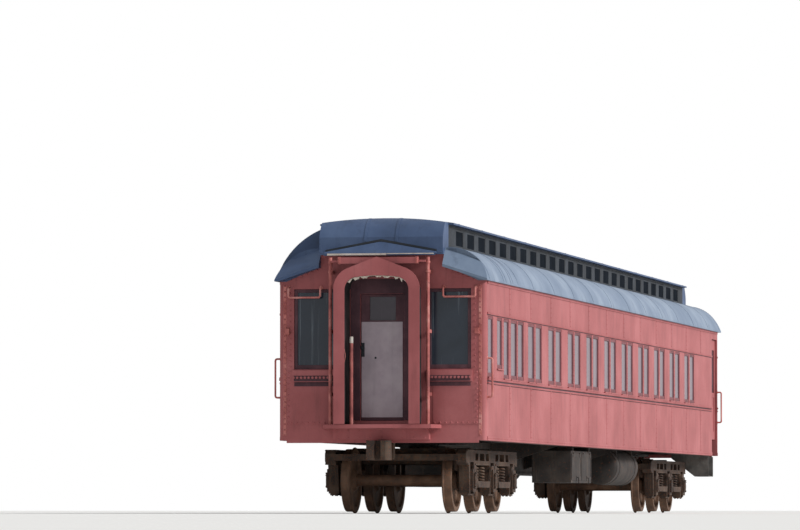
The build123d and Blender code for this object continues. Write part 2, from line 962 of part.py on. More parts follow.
def coupler():
    """A knuckle coupler at -Y with its shank into the centre sill."""
    y = -half_length - coupler_reach
    z = coupler_height
    shank = block((-70.0, 70.0), (y + 250.0, -half_length + 600.0), (z - 85.0, z + 85.0))
    head_plan = outline(
        (-160.0, y + 20.0),
        (-150.0, y + 200.0),
        (-70.0, y + 330.0),
        (110.0, y + 330.0),
        (170.0, y + 180.0),
        (150.0, y + 110.0),
        (40.0, y + 150.0),
        (-40.0, y + 130.0),
        (-50.0, y + 20.0),
    )
    head = bar(head_plan, "z", z - 140.0, z + 140.0)
    knuckle_plan = outline(
        (60.0, y + 110.0),
        (170.0, y + 150.0),
        ((190.0, y + 60.0), (120.0, y)),
        (50.0, y + 10.0),
        (40.0, y + 60.0),
    )
    knuckle = bar(knuckle_plan, "z", z - 140.0, z + 140.0)
    y_carrier = (-half_length + 60.0, -half_length + 180.0)
    carrier = block((-150.0, 150.0), y_carrier, (z - 125.0, z - 85.0))
    for side in (-1, 1):
        low, high = sorted((side * 120.0, side * 150.0))
        carrier = carrier + block((low, high), y_carrier, (z - 125.0, centre_sill_shallow))
    pocket = block((-70.0, 70.0), (-half_length + 300.0, -half_length + 600.0), (z - 85.0, centre_sill_shallow))
    return shank + head + knuckle + carrier + pocket


keep("couplers", both_ends(coupler()))


louvre_count = 7
louvre_pitch = 62.0
louvre_depth = 30.0


def hung_box(x, y, z):
    """A box hung on two straps from the side sill."""
    body = block(x, y, (z[0], z[1] - 60.0))
    for station in (y[0] + 200.0, y[1] - 200.0):
        hanger = block((x[0], x[1]), (station - 40.0, station + 40.0), (z[1] - 60.0, side_sill_bottom))
        body = body + hanger
    return body


def battery_box(x, y, z):
    """A hung box with two framed doors on its outer face."""
    body = hung_box(x, y, z)
    middle = (y[0] + y[1]) / 2
    for span in ((y[0] + 40.0, middle - 25.0), (middle + 25.0, y[1] - 40.0)):
        heights = (z[0] + 40.0, z[1] - 100.0)
        door = block((x[1] - 1, x[1] + 10.0), span, heights)
        panel = block((x[1] + 4.0, x[1] + 11.0), (span[0] + 60.0, span[1] - 60.0), (heights[0] + 60.0, heights[1] - 60.0))
        body = body + (door - panel)
    return body


def louvred_box(x, y, z):
    """A hung box with two banks of louvre slots on its outer face."""
    body = hung_box(x, y, z)
    middle = (y[0] + y[1]) / 2
    for span in ((y[0] + 90.0, middle - 70.0), (middle + 70.0, y[1] - 90.0)):
        for index in range(louvre_count):
            bottom = z[0] + 70.0 + index * louvre_pitch
            slot = outline(
                (x[0] - 1, bottom),
                (x[0] + louvre_depth, bottom + louvre_pitch * 0.5),
                (x[0] - 1, bottom + louvre_pitch * 0.7),
            )
            body = body - bar(slot, "y", *span)
    return body


def hung_tank(x, y, z):
    """A round tank along the car in two strap hangers."""
    radius = (x[1] - x[0]) / 2
    centre_x = (x[0] + x[1]) / 2
    centre_z = z[0] + radius
    tank = rod((centre_x, y[0], centre_z), (centre_x, y[1], centre_z), radius * 2)
    for station in (y[0] + 300.0, y[1] - 300.0):
        top = floor_bottom
        hanger = block((x[0] + 60.0, x[1] - 60.0), (station - 30.0, station + 30.0), (centre_z, top))
        tank = tank + hanger
    return tank


# Equipment under the floor: name, kind, low and high X, low and high Y, low and high Z
equipment = [
    ("battery_boxes", battery_box, (760.0, 1380.0), (-3900.0, -1900.0), (480.0, 1040.0)),
    ("air_conditioner", louvred_box, (-1380.0, -620.0), (-3900.0, -1700.0), (420.0, 1040.0)),
    ("water_tank", hung_tank, (620.0, 1220.0), (1900.0, 4200.0), (470.0, 1040.0)),
    ("brake_reservoir", hung_tank, (-1250.0, -750.0), (1900.0, 4000.0), (520.0, 1040.0)),
]

for name, maker, x, y, z in equipment:
    keep(name, maker(x, y, z))


def bulkhead():
    """The wall between the vestibule and the lounge, with its doorway."""
    x = half_width - wall
    y = (bulkhead_y - 60.0, bulkhead_y)
    sheet = block((-x, x), y, (floor_top, eave_height))
    return sheet - block((-end_door_width / 2, end_door_width / 2), (y[0] - 5, y[1] + 5),
                         (floor_top - 5, end_door_height))


keep("vestibule_bulkhead", bulkhead())


def leaf_plan(width, height, window):
    """A door leaf in its own plane, bottom centre at the origin, with its window cut."""
    leaf = outline((-width / 2, 0), (width / 2, 0), (width / 2, height), (-width / 2, height))
    return leaf - Pos((window[0] + window[1]) / 2, (window[2] + window[3]) / 2) * Rectangle(
        window[1] - window[0], window[3] - window[2])


door_gap = 6.0
side_door_clearance = 20.0
panel_depth = 10.0
end_leaf = end_door_height - floor_top
side_leaf = side_door_top - floor_top
end_door_window = (-190.0, 190.0, end_leaf - 385.0, end_leaf - 45.0)
side_door_window = (-260.0, 260.0, side_leaf - 995.0, side_leaf - 215.0)


def barrel(axis, at, stations, length):
    """Hinge barrels about an axis at a point, centred on stations along it."""
    pieces = []
    for station in stations:
        start = list(at)
        end = list(at)
        index = "xyz".index(axis)
        start[index] = station - length / 2
        end[index] = station + length / 2
        pieces.append(rod(start, end, 2 * hinge_radius))
    return fuse(pieces)


def end_door():
    """The door at -Y, before it is turned about: hinged on its left-hand edge and opening inwards."""
    y = -half_length + 35.0
    height = end_door_height - floor_top - 2 * door_gap
    leaf = leaf_plan(end_door_width - 2 * door_gap, height, end_door_window)
    solid = Pos(0, 0, floor_top + door_gap) * bar(leaf, "y", y, y + end_door_thickness)
    for face in (y, y + end_door_thickness):
        solid = solid - block((-200.0, 200.0), (face - panel_depth, face + panel_depth),
                              (floor_top + 160.0, floor_top + end_door_window[2] - 80.0))
    hinge_x = -end_door_width / 2 + seat_gap + hinge_radius
    solid = solid + barrel("z", (hinge_x, y + end_door_thickness, 0), (floor_top + 275.0, end_door_height - 290.0), 110.0)
    low, high, bottom, top = end_door_window
    pane = block((low + seat_gap, high - seat_gap), (y + 18.0, y + 18.0 + pane_thickness),
                 (floor_top + door_gap + bottom + seat_gap, floor_top + door_gap + top - seat_gap))
    return solid, pane


end_leaf_solid, end_pane = end_door()
keep("near_end_door", mirror_x(end_leaf_solid))
keep("near_door_glass", mirror_x(end_pane))
keep("far_end_door", mirror_y(end_leaf_solid))
keep("far_door_glass", mirror_y(end_pane))


def side_door():
    """The right-hand vestibule door, hinged on its edge nearer the car's end."""
    x = half_width - 40.0
    base = floor_top + side_door_clearance
    height = side_door_top - base - door_gap
    leaf = leaf_plan(side_door_width - 2 * door_gap, height, side_door_window)
    solid = Pos(0, door_y, base) * bar(leaf, "x", x - end_door_thickness, x)
    for face in (x - end_door_thickness, x):
        solid = solid - block((face - panel_depth, face + panel_depth), (door_y - 240.0, door_y + 240.0),
                              (base + 150.0, base + side_door_window[2] - 90.0))
    hinge_y = door_high - seat_gap - hinge_radius
    solid = solid + barrel("z", (x - end_door_thickness, hinge_y, 0), (floor_top + 275.0, side_door_top - 280.0), 110.0)
    low, high, bottom, top = side_door_window
    pane = block((x - 26.0, x - 18.0), (door_y + low + seat_gap, door_y + high - seat_gap),
                 (base + bottom + seat_gap, base + top - seat_gap))
    return solid, pane


right_door, right_pane = side_door()
keep("right_vestibule_door", right_door)
keep("right_door_glass", right_pane)
keep("left_vestibule_door", mirror_x(right_door))
keep("left_door_glass", mirror_x(right_pane))


def trap_door():
    """The right-hand trap over the steps, hinged on its edge nearer the bulkhead."""
    x_out = half_width - 40.0 - end_door_thickness - door_gap - 2.0
    x_in = half_width - wall - trap_length + door_gap
    leaf = block((x_in, x_out), (step_low + door_gap, step_high - door_gap), (floor_top - trap_thickness, floor_top))
    hinge_y = step_low + seat_gap + hinge_radius
    stations = (x_in + 120.0, x_out - 160.0)
    return leaf + barrel("x", (0, hinge_y, floor_top), stations, 120.0)


right_trap = trap_door()
keep("right_trap_door", right_trap)
keep("left_trap_door", mirror_x(right_trap))


def wheelset(y):
    """An axle with its two wheels, turned about X."""
    back = wheel_back_to_back / 2
    face = back + wheel_width
    end = journal_spacing / 2 + 95.0
    half = outline(
        (0, 0),
        (0, axle_diameter / 2),
        (back, axle_diameter / 2),
        (back, wheel_radius + flange_height),
        (back + flange_width, wheel_radius + flange_height),
        (back + flange_width, wheel_radius),
        (face, wheel_radius),
        (face, wheel_radius - rim_height),
        (face - web_inset, wheel_radius - rim_height),
        (face - web_inset, journal_diameter / 2),
        (end, journal_diameter / 2),
        (end, 0),
    )
    turned = revolve(half, axis=Axis.X, revolution_arc=360)
    turned = turned + mirror_x(turned)
    return Pos(0, y, axle_height) * turned


def axle_boxes(y0):
    """Axle boxes over the six journals of one truck, each bored for its journal."""
    boxes = []
    for index in range(3):
        y = y0 + (index - 1) * truck_wheelbase / 2
        for side in (-1, 1):
            x = side * journal_spacing / 2
            low, high = sorted((x - side * axle_box_width / 2, x + side * axle_box_width / 2))
            half = axle_box_length / 2
            face = outline(
                (y - half, axle_height - axle_box_height / 2),
                (y + half, axle_height - axle_box_height / 2),
                (y + half, axle_height + axle_box_height / 2),
                (y - half, axle_height + axle_box_height / 2),
            )
            box = bar(face, "x", low, high)
            lid_low, lid_high = sorted((x + side * axle_box_width / 2, x + side * (axle_box_width / 2 + 25.0)))
            box = box + block((lid_low, lid_high), (y - 95.0, y + 95.0), (axle_height - 110.0, axle_height + 100.0))
            bore = rod((side * 800.0, y, axle_height), (side * (journal_spacing / 2 + 96.0), y, axle_height),
                       journal_diameter + 2 * seat_gap)
            boxes.append(box - bore)
    return boxes


equaliser_thickness = 30.0
equaliser_gap = 5.0
spring_diameter = 145.0
bolster_bottom = 745.0
plank_top = 520.0
elliptic_length = 640.0
transom_offset = 250.0
pedestal_bottom = 290.0


def frame_side(y0, low, high):
    """One side beam: raised over the boxes, with pedestal jaws, tie bars under them and a truss of openings."""
    half_base = truck_wheelbase / 2
    end = half_base + frame_overhang
    leg = axle_box_length / 2 + pedestal_gap
    points = [(y0 - end + 60.0, frame_top), (y0 - end, frame_top - 60.0), (y0 - end, frame_bottom + 60.0),
              (y0 - end + 60.0, frame_bottom)]
    for index in range(3):
        y = y0 + (index - 1) * half_base
        points += [
            (y - leg - 110.0, frame_bottom),
            (y - leg - 60.0, pedestal_bottom),
            (y - leg, pedestal_bottom),
            (y - leg, frame_bottom + 40.0),
            (y + leg, frame_bottom + 40.0),
            (y + leg, pedestal_bottom),
            (y + leg + 60.0, pedestal_bottom),
            (y + leg + 110.0, frame_bottom),
        ]
    points += [(y0 + end - 60.0, frame_bottom), (y0 + end, frame_bottom + 60.0), (y0 + end, frame_top - 60.0),
               (y0 + end - 60.0, frame_top)]
    beam = bar(outline(*points), "x", low, high)
    for index in range(3):
        y = y0 + (index - 1) * half_base
        tie = block((low + 20.0, high - 20.0), (y - leg - 60.0, y + leg + 60.0), (pedestal_bottom - 25.0, pedestal_bottom))
        beam = beam + tie
    # Openings of the truss: bottom start and end, top start and end, from the middle between two axles
    openings = [
        (-570.0, -330.0, -540.0, -310.0),
        (-200.0, 200.0, -170.0, 170.0),
        (330.0, 570.0, 310.0, 540.0),
    ]
    for station in (-half_base / 2, half_base / 2):
        y = y0 + station
        for low_start, low_end, high_start, high_end in openings:
            hole = outline(
                (y + low_start, frame_bottom + 65.0),
                (y + low_end, frame_bottom + 65.0),
                (y + high_end, frame_top - 50.0),
                (y + high_start, frame_top - 50.0),
            )
            beam = beam - bar(hole, "x", low - 1, high + 1)
    return beam


def truck_frame(y0):
    """The cast frame: two side beams with pedestals, end beams and the transoms at the middle."""
    half_base = truck_wheelbase / 2
    end = half_base + frame_overhang
    pieces = []
    for side in (-1, 1):
        x = side * journal_spacing / 2
        low, high = sorted((x - side * frame_beam_width / 2, x + side * frame_beam_width / 2))
        pieces.append(frame_side(y0, low, high))
    x = (journal_spacing - frame_beam_width) / 2 + 1
    for station in (-end + 35.0, end - 35.0):
        pieces.append(block((-x, x), (y0 + station - 35.0, y0 + station + 35.0), (frame_bottom + 60.0, frame_top - 65.0)))
    for station in (-half_base / 2, half_base / 2):
        for offset in (-transom_offset, transom_offset):
            y = y0 + station + offset
            pieces.append(block((-x, x), (y - 25.0, y + 25.0), (frame_bottom + 20.0, frame_top - 60.0)))
    return fuse(pieces)


def truck_bolster(y0):
    """The spider bolster: two cross beams, the long beams over the middle axle and the centre plate."""
    x = journal_spacing / 2 - frame_beam_width / 2 - 20.0
    half = truck_wheelbase / 4
    pieces = []
    for station in (-half, half):
        y = y0 + station
        pieces.append(block((-x, x), (y - 130.0, y + 130.0), (bolster_bottom, frame_top + 30.0)))
        pieces.append(block((-x, x), (y - 90.0, y + 90.0), (plank_top - 30.0, plank_top)))
        spring = outline(
            (y - elliptic_length / 2, (plank_top + bolster_bottom) / 2),
            ((y, plank_top), (y + elliptic_length / 2, (plank_top + bolster_bottom) / 2)),
            ((y, bolster_bottom), (y - elliptic_length / 2, (plank_top + bolster_bottom) / 2)),
        )
        for side in (-1, 1):
            low, high = sorted((side * (x - 220.0), side * (x - 20.0)))
            pieces.append(bar(spring, "x", low, high))
            pieces.append(block((low, high), (y - 60.0, y + 60.0), (plank_top - 10.0, bolster_bottom + 10.0)))
            for edge in (-1, 1):
                hanger_y = y + edge * (transom_offset - 25.0 - seat_gap - 15.0)
                pieces.append(block((side * 500.0 - 30.0, side * 500.0 + 30.0), sorted((hanger_y - 15.0, hanger_y + 15.0)),
                                    (plank_top - 30.0, frame_bottom + 60.0)))
                pieces.append(block((side * 500.0 - 30.0, side * 500.0 + 30.0), sorted((y + edge * 80.0, hanger_y)),
                                    (plank_top - 30.0, plank_top)))
    for side in (-1, 1):
        low, high = sorted((side * 200.0, side * 380.0))
        pieces.append(block((low, high), (y0 - half, y0 + half), (frame_top - 60.0 + 30.0, frame_top + 30.0)))
    pieces.append(block((-200.0, 200.0), (y0 - 260.0, y0 + 260.0), (frame_top - 30.0, frame_top + 30.0)))
    pieces.append(Pos(0, y0, frame_top + 30.0) * Cylinder(
        centre_plate_radius, bolster_top - frame_top - 30.0, align=(Align.CENTER, Align.CENTER, Align.MIN)))
    return fuse(pieces)


def equalisers(y0):
    """Drop bars from each outer axle box to the middle one, each under two coil springs."""
    half_base = truck_wheelbase / 2
    box_top = axle_height + axle_box_height / 2
    seat = frame_bottom - 235.0
    found = []
    for side in (-1, 1):
        x = side * (journal_spacing / 2)
        for end in (-1, 1):
            inner, outer = y0 + end * 60.0, y0 + end * half_base
            first, last = sorted((inner, outer))
            bar_outline = outline(
                (first - 40.0, box_top),
                (first + 190.0, box_top),
                (first + 330.0, seat - 90.0),
                (last - 330.0, seat - 90.0),
                (last - 190.0, box_top),
                (last + 40.0, box_top),
                (last + 40.0, box_top + 55.0),
                (last - 165.0, box_top + 55.0),
                (last - 300.0, seat),
                (first + 300.0, seat),
                (first + 165.0, box_top + 55.0),
                (first - 40.0, box_top + 55.0),
            )
            reach = frame_beam_width / 2 + equaliser_gap
            pieces = [bar(bar_outline, "x", x + reach, x + reach + equaliser_thickness),
                      bar(bar_outline, "x", x - reach - equaliser_thickness, x - reach)]
            centre = (first + last) / 2
            for offset in (-250.0, 250.0):
                y = centre + offset
                pieces.append(block((x - reach, x + reach), (y - 85.0, y + 85.0), (seat - 40.0, seat)))
                pieces.append(rod((x, y, seat), (x, y, frame_bottom - seat_gap), spring_diameter))
            found.append(fuse(pieces))
    return found


for end_name, sign in (("near", -1), ("far", 1)):
    y0 = sign * truck_y
    keep(end_name + "_truck_frame", truck_frame(y0))
    keep(end_name + "_truck_bolster", truck_bolster(y0))
    keep(end_name + "_axle_boxes", axle_boxes(y0))
    keep(end_name + "_equalisers", equalisers(y0))
    for index in range(3):
        keep(end_name + "_wheelset_" + str(index + 1), wheelset(y0 + (index - 1) * truck_wheelbase / 2))


os.makedirs("parts", exist_ok=True)
for name, pieces in parts.items():
    solids = [solid for piece in pieces for solid in piece.solids()]
    shape = solids[0] if len(solids) == 1 else Compound(children=solids)
    export_step(shape, "parts/" + name + ".step")
print(len(parts), "nodes")
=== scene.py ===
import cmath
import itertools
import json
import math
import bmesh
import bpy
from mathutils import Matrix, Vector, noise


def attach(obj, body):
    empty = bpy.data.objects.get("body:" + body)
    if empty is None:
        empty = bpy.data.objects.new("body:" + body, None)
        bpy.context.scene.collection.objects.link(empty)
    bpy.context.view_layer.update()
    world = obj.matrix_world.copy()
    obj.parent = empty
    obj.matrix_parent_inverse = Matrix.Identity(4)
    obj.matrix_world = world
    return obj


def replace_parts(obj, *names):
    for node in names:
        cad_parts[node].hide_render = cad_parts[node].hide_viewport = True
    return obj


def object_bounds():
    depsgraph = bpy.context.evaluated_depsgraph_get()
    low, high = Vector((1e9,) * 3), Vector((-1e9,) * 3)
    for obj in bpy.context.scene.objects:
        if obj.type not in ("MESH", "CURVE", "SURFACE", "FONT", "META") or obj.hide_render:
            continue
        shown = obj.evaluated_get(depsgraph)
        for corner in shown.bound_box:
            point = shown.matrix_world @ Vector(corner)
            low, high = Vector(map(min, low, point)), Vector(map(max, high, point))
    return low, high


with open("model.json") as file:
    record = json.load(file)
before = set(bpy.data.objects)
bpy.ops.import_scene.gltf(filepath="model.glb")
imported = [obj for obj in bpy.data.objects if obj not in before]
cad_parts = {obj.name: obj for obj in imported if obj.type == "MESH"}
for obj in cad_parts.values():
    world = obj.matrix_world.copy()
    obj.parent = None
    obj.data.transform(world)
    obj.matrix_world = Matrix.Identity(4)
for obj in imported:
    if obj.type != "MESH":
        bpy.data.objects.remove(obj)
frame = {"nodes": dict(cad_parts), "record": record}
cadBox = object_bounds()
nodes = frame["nodes"]
scene = bpy.context.scene
print("frame loaded", len(nodes), "nodes")


def toLinear(text):
    # sRGB hex to the linear colour that a node takes
    channels = [int(text[i:i + 2], 16) / 255 for i in (1, 3, 5)]
    return [c / 12.92 if c <= 0.04045 else ((c + 0.055) / 1.055) ** 2.4 for c in channels] + [1.0]


def addNode(tree, kind, links=None, inputs=None, **settings):
    node = tree.nodes.new(kind)
    for name, value in settings.items():
        setattr(node, name, value)
    for name, value in (inputs or {}).items():
        node.inputs[name].default_value = value
    for name, source in (links or {}).items():
        tree.links.new(source, node.inputs[name])
    return node


def addObject(name, data):
    item = bpy.data.objects.new(name, data)
    scene.collection.objects.link(item)
    return item


def makeMesh(name, points, faces=()):
    mesh = bpy.data.meshes.new(name)
    mesh.from_pydata(points, [], faces)
    return mesh


# Camera: level with the floor, far off, a little to the right of the car's near end
view = {
    "nearWallY": cadBox[0][1] + 0.45,   # face of the near end wall
    "right": 15.74,                     # metres to the right of the car's middle
    "back": 80.0,                       # metres in front of the near end wall
    "height": 0.05,
    "lens": 256.6,                      # 5702 px across a 36 mm sensor of 800 px
    "turn": 10.953,                     # degrees to the left of the car's length
    "tilt": 2.461,                      # degrees upwards
}
cameraData = bpy.data.cameras.new("camera")
cameraData.lens = view["lens"]
cameraData.sensor_width = 36.0
cameraData.clip_end = 2000.0
camera = addObject("camera", cameraData)
camera.location = (view["right"], view["nearWallY"] - view["back"], view["height"])
camera.rotation_euler = (math.radians(90 + view["tilt"]), 0, math.radians(view["turn"]))
scene.camera = camera

# Floor, soft sun and an even sky
scene.view_settings.view_transform = "Standard"
stageSettings = {"floor": "#E9E7E3", "floorSize": 600.0, "sun": 3.3, "sunSoft": 14.0, "sky": 0.45,
                 "sunward": (-0.88, 0.15, -0.5)}


def makeStage(s):
    half = s["floorSize"] / 2
    corners = [(x * half, y * half, 0) for x, y in ((-1, -1), (1, -1), (1, 1), (-1, 1))]
    floor = addObject("floor", makeMesh("floor", corners, [(0, 1, 2, 3)]))
    material = bpy.data.materials.new("paleFloor")
    material.use_nodes = True
    shader = material.node_tree.nodes["Principled BSDF"]
    shader.inputs["Base Color"].default_value = toLinear(s["floor"])
    shader.inputs["Roughness"].default_value = 0.9
    floor.data.materials.append(material)
    sunData = bpy.data.lights.new("sun", "SUN")
    sunData.energy = s["sun"]
    sunData.angle = math.radians(s["sunSoft"])
    sun = addObject("sun", sunData)
    sun.rotation_euler = Vector(s["sunward"]).to_track_quat("-Z", "Y").to_euler()
    world = bpy.data.worlds.new("sky")
    scene.world = world
    world.use_nodes = True
    tree = world.node_tree
    tree.nodes.clear()
    path = addNode(tree, "ShaderNodeLightPath").outputs
    seen = path["Is Camera Ray"]
    for ray in ("Is Transmission Ray", "Is Glossy Ray"):
        seen = addNode(tree, "ShaderNodeMath", operation="MAXIMUM", links={0: seen, 1: path[ray]}).outputs[0]
    plain = addNode(tree, "ShaderNodeBackground", inputs={"Color": (1, 1, 1, 1), "Strength": 1.0})
    even = addNode(tree, "ShaderNodeBackground", inputs={"Color": (0.93, 0.96, 1, 1), "Strength": s["sky"]})
    mix = addNode(tree, "ShaderNodeMixShader", links={0: seen, 1: even.outputs[0], 2: plain.outputs[0]})
    addNode(tree, "ShaderNodeOutputWorld", links={"Surface": mix.outputs[0]})


makeStage(stageSettings)
print("stage ready")


# Materials
def startMaterial(name):
    material = bpy.data.materials.new(name)
    material.use_nodes = True
    tree = material.node_tree
    shader = tree.nodes["Principled BSDF"]
    place = addNode(tree, "ShaderNodeTexCoord")
    return material, tree, shader, place.outputs["Object"]


def weatheredPaint(name, s):
    material, tree, shader, place = startMaterial(name)
    patches = addNode(tree, "ShaderNodeTexNoise", links={"Vector": place},
                      inputs={"Scale": 1 / s["patch"], "Detail": 5.0, "Roughness": 0.6})
    fade = addNode(tree, "ShaderNodeValToRGB", links={"Fac": patches.outputs["Fac"]})
    fade.color_ramp.elements[0].position = 0.34
    fade.color_ramp.elements[0].color = toLinear(s["deep"])
    fade.color_ramp.elements[1].position = 0.66
    fade.color_ramp.elements[1].color = toLinear(s["faded"])
    middle = fade.color_ramp.elements.new(0.5)
    middle.color = toLinear(s["base"])
    stretched = addNode(tree, "ShaderNodeMapping", links={"Vector": place},
                        inputs={"Scale": (1 / s["streak"], 1 / s["streak"], 0.09 / s["streak"])})
    streaks = addNode(tree, "ShaderNodeTexNoise", links={"Vector": stretched.outputs[0]},
                      inputs={"Scale": 1.0, "Detail": 4.0, "Roughness": 0.65})
    streakShare = addNode(tree, "ShaderNodeMapRange", links={"Value": streaks.outputs["Fac"]},
                          inputs={"From Min": 0.54, "From Max": 0.78,
                                  "To Min": 0.0, "To Max": s["streakShare"]})
    streaked = addNode(tree, "ShaderNodeMix", data_type="RGBA",
                       links={"Factor": streakShare.outputs[0], "A": fade.outputs["Color"]},
                       inputs={"B": toLinear(s["dirt"])})
    specks = addNode(tree, "ShaderNodeTexNoise", links={"Vector": place},
                     inputs={"Scale": 1 / s["speck"], "Detail": 6.0, "Roughness": 0.7})
    rustShare = addNode(tree, "ShaderNodeMapRange", links={"Value": specks.outputs["Fac"]},
                        inputs={"From Min": s["rustFrom"], "From Max": s["rustFrom"] + 0.05,
                                "To Min": 0.0, "To Max": 0.85})
    rusted = addNode(tree, "ShaderNodeMix", data_type="RGBA",
                     links={"Factor": rustShare.outputs[0], "A": streaked.outputs["Result"]},
                     inputs={"B": toLinear(s["rust"])})
    tree.links.new(rusted.outputs["Result"], shader.inputs["Base Color"])
    rough = addNode(tree, "ShaderNodeMapRange", links={"Value": specks.outputs["Fac"]},
                    inputs={"To Min": s["rough"] - 0.12, "To Max": s["rough"] + 0.14})
    tree.links.new(rough.outputs[0], shader.inputs["Roughness"])
    shader.inputs["Specular IOR Level"].default_value = 0.35
    bump = addNode(tree, "ShaderNodeBump", links={"Height": specks.outputs["Fac"]},
                   inputs={"Strength": s["bump"], "Distance": 0.004})
    waves = addNode(tree, "ShaderNodeBump",
                    links={"Height": patches.outputs["Fac"], "Normal": bump.outputs[0]},
                    inputs={"Strength": 0.25, "Distance": 0.02})
    tree.links.new(waves.outputs[0], shader.inputs["Normal"])
    return material


# Paints. A patch, a streak and a speck are in metres. streakShare is how far the streaks hide the paint, and
# rustFrom the noise value above which a speck is rust
paints = {
    # oil paint on riveted steel sheet, sun-faded in soft patches, streaked down from the seams
    "fadedOxideRedPaint": dict(
        base="#9D5657", faded="#A76162", deep="#914D4E", dirt="#5C3738", rust="#4A2E27",
        patch=0.9, streak=0.11, streakShare=0.45, speck=0.035, rustFrom=0.68, rough=0.62, bump=0.25),
    # roof paint over sheet and canvas, darkened as painted shade to the tone of the roof in shade, with sooty
    # streaks that rain has drawn downwards
    "shadedWeatheredRoofPaint": dict(
        base="#3D4F6E", faded="#4A5C7A", deep="#334460", dirt="#252F42", rust="#463C3C",
        patch=0.8, streak=0.16, streakShare=0.5, speck=0.05, rustFrom=0.69, rough=0.6, bump=0.3),
    # painted sunlight: the roof paint made lighter for the right side deck, which lies in the sun
    "sunlitDeckPaint": dict(
        base="#717F92", faded="#7F8C9D", deep="#647387", dirt="#434E60", rust="#6E625E",
        patch=0.8, streak=0.16, streakShare=0.6, speck=0.05, rustFrom=0.7, rough=0.6, bump=0.3),
    # sooty matt dark paint; made darker as painted shade on the clerestory wall, and used as a painted shadow
    # over the rain hood
    "sootAndShadeDarkPaint": dict(
        base="#22272E", faded="#2E343C", deep="#1A1E24", dirt="#131518", rust="#352E2B",
        patch=0.5, streak=0.1, streakShare=0.4, speck=0.04, rustFrom=0.66, rough=0.7, bump=0.3),
    # black frame paint under road dust, rust at every worn spot
    "dustyFramePaint": dict(
        base="#2F2B29", faded="#433C37", deep="#221F1E", dirt="#5C5046", rust="#5E3B28",
        patch=0.4, streak=0.1, streakShare=0.6, speck=0.03, rustFrom=0.58, rough=0.78, bump=0.5),
    # cast steel left unpainted: coarse skin, brown rust and dust
    "rustyCastSteel": dict(
        base="#3B3029", faded="#54453A", deep="#2A2320", dirt="#6A5848", rust="#6B4027",
        patch=0.3, streak=0.09, streakShare=0.5, speck=0.018, rustFrom=0.55, rough=0.82, bump=0.7),
    # rolled wheel steel, thinly rusted since it last ran
    "rolledWheelSteel": dict(
        base="#5A4334", faded="#6E5442", deep="#463429", dirt="#2E2722", rust="#7A4A2C",
        patch=0.2, streak=0.06, streakShare=0.4, speck=0.02, rustFrom=0.57, rough=0.7, bump=0.5),
    # brushed maroon door paint, kept darker by its shelter
    "maroonDoorPaint": dict(
        base="#6A3238", faded="#7A4045", deep="#582A30", dirt="#3E2225", rust="#4A2E22",
        patch=0.5, streak=0.08, streakShare=0.4, speck=0.03, rustFrom=0.7, rough=0.55, bump=0.2),
    # old cream enamel inside, yellowed
    "creamInsidePaint": dict(
        base="#8C8272", faded="#A0947F", deep="#776D5E", dirt="#4E463C", rust="#5A4030",
        patch=0.7, streak=0.1, streakShare=0.5, speck=0.04, rustFrom=0.68, rough=0.65, bump=0.2),
    # worn brown floor covering
    "wornFloorCovering": dict(
        base="#4E433A", faded="#5E5247", deep="#3F362F", dirt="#2E2824", rust="#4A3A2E",
        patch=0.6, streak=0.3, streakShare=0.3, speck=0.03, rustFrom=0.7, rough=0.75, bump=0.2),
    # rolled tread plate, rubbed bright on its raised parts
    "wornTreadSteel": dict(
        base="#5C5A57", faded="#74716C", deep="#454341", dirt="#3A342F", rust="#6A452F",
        patch=0.25, streak=0.1, streakShare=0.4, speck=0.02, rustFrom=0.6, rough=0.6, bump=0.5),
    # rubber-coated canvas, cracked along its folds
    "coatedCanvas": dict(
        base="#2B2527", faded="#3A3132", deep="#1E1A1B", dirt="#4C4240", rust="#3A2A26",
        patch=0.35, streak=0.05, streakShare=0.5, speck=0.012, rustFrom=0.66, rough=0.92, bump=0.8),
    # pale grey paint brushed on a flat steel sheet
    "palePanelPaint": dict(
        base="#AEA0A8", faded="#BBAFB5", deep="#9E9199", dirt="#77706F", rust="#6A5448",
        patch=0.5, streak=0.09, streakShare=0.3, speck=0.03, rustFrom=0.72, rough=0.5, bump=0.15),
    # painted round bar, chipped where hands and boots reach; on the corner strips its lighter tone is a
    # painted highlight of the sunlit corner
    "barIronAndHighlightPaint": dict(
        base="#B86C66", faded="#CC8E87", deep="#9C524E", dirt="#6A3F3C", rust="#5A3426",
        patch=0.3, streak=0.05, streakShare=0.5, speck=0.012, rustFrom=0.6, rough=0.6, bump=0.4),
    # pale trim paint, chalky and flaking; on the rain hood's lip it is a painted highlight
    "creamTrimAndHighlightPaint": dict(
        base="#CFC8BE", faded="#DAD5CD", deep="#B9B0A4", dirt="#8A7A6E", rust="#7A5444",
        patch=0.15, streak=0.05, streakShare=0.5, speck=0.02, rustFrom=0.64, rough=0.7, bump=0.4),
    # pipe paint with dark flakes in its rust and dirt colours: painted dappled shade of leaves
    "dappledShadePipePaint": dict(
        base="#AC605B", faded="#C6857E", deep="#864A48", dirt="#3C2C33", rust="#35282F",
        patch=0.25, streak=0.05, streakShare=0.35, speck=0.06, rustFrom=0.61, rough=0.65, bump=0.6),
    # dark maroon with sooty streaks; painted shade where it stands for the shade inside the passage, on the
    # end doors and casings, and under the side mouldings and the end ledge; also the colour of the end window
    # sashes
    "sootAndShadePassagePaint": dict(
        base="#4A2E36", faded="#5A3B42", deep="#3B252D", dirt="#2A1E24", rust="#3A2822",
        patch=0.4, streak=0.08, streakShare=0.4, speck=0.03, rustFrom=0.68, rough=0.7, bump=0.3),
    # sun-bleached cotton lining, torn and fluffed along its edge
    "bleachedCotton": dict(
        base="#C9C0B2", faded="#DAD3C6", deep="#A99F92", dirt="#7D7268", rust="#6E5F54",
        patch=0.08, streak=0.02, streakShare=0.5, speck=0.006, rustFrom=0.66, rough=0.95, bump=0.9),
}
looks = {name: weatheredPaint(name, s) for name, s in paints.items()}


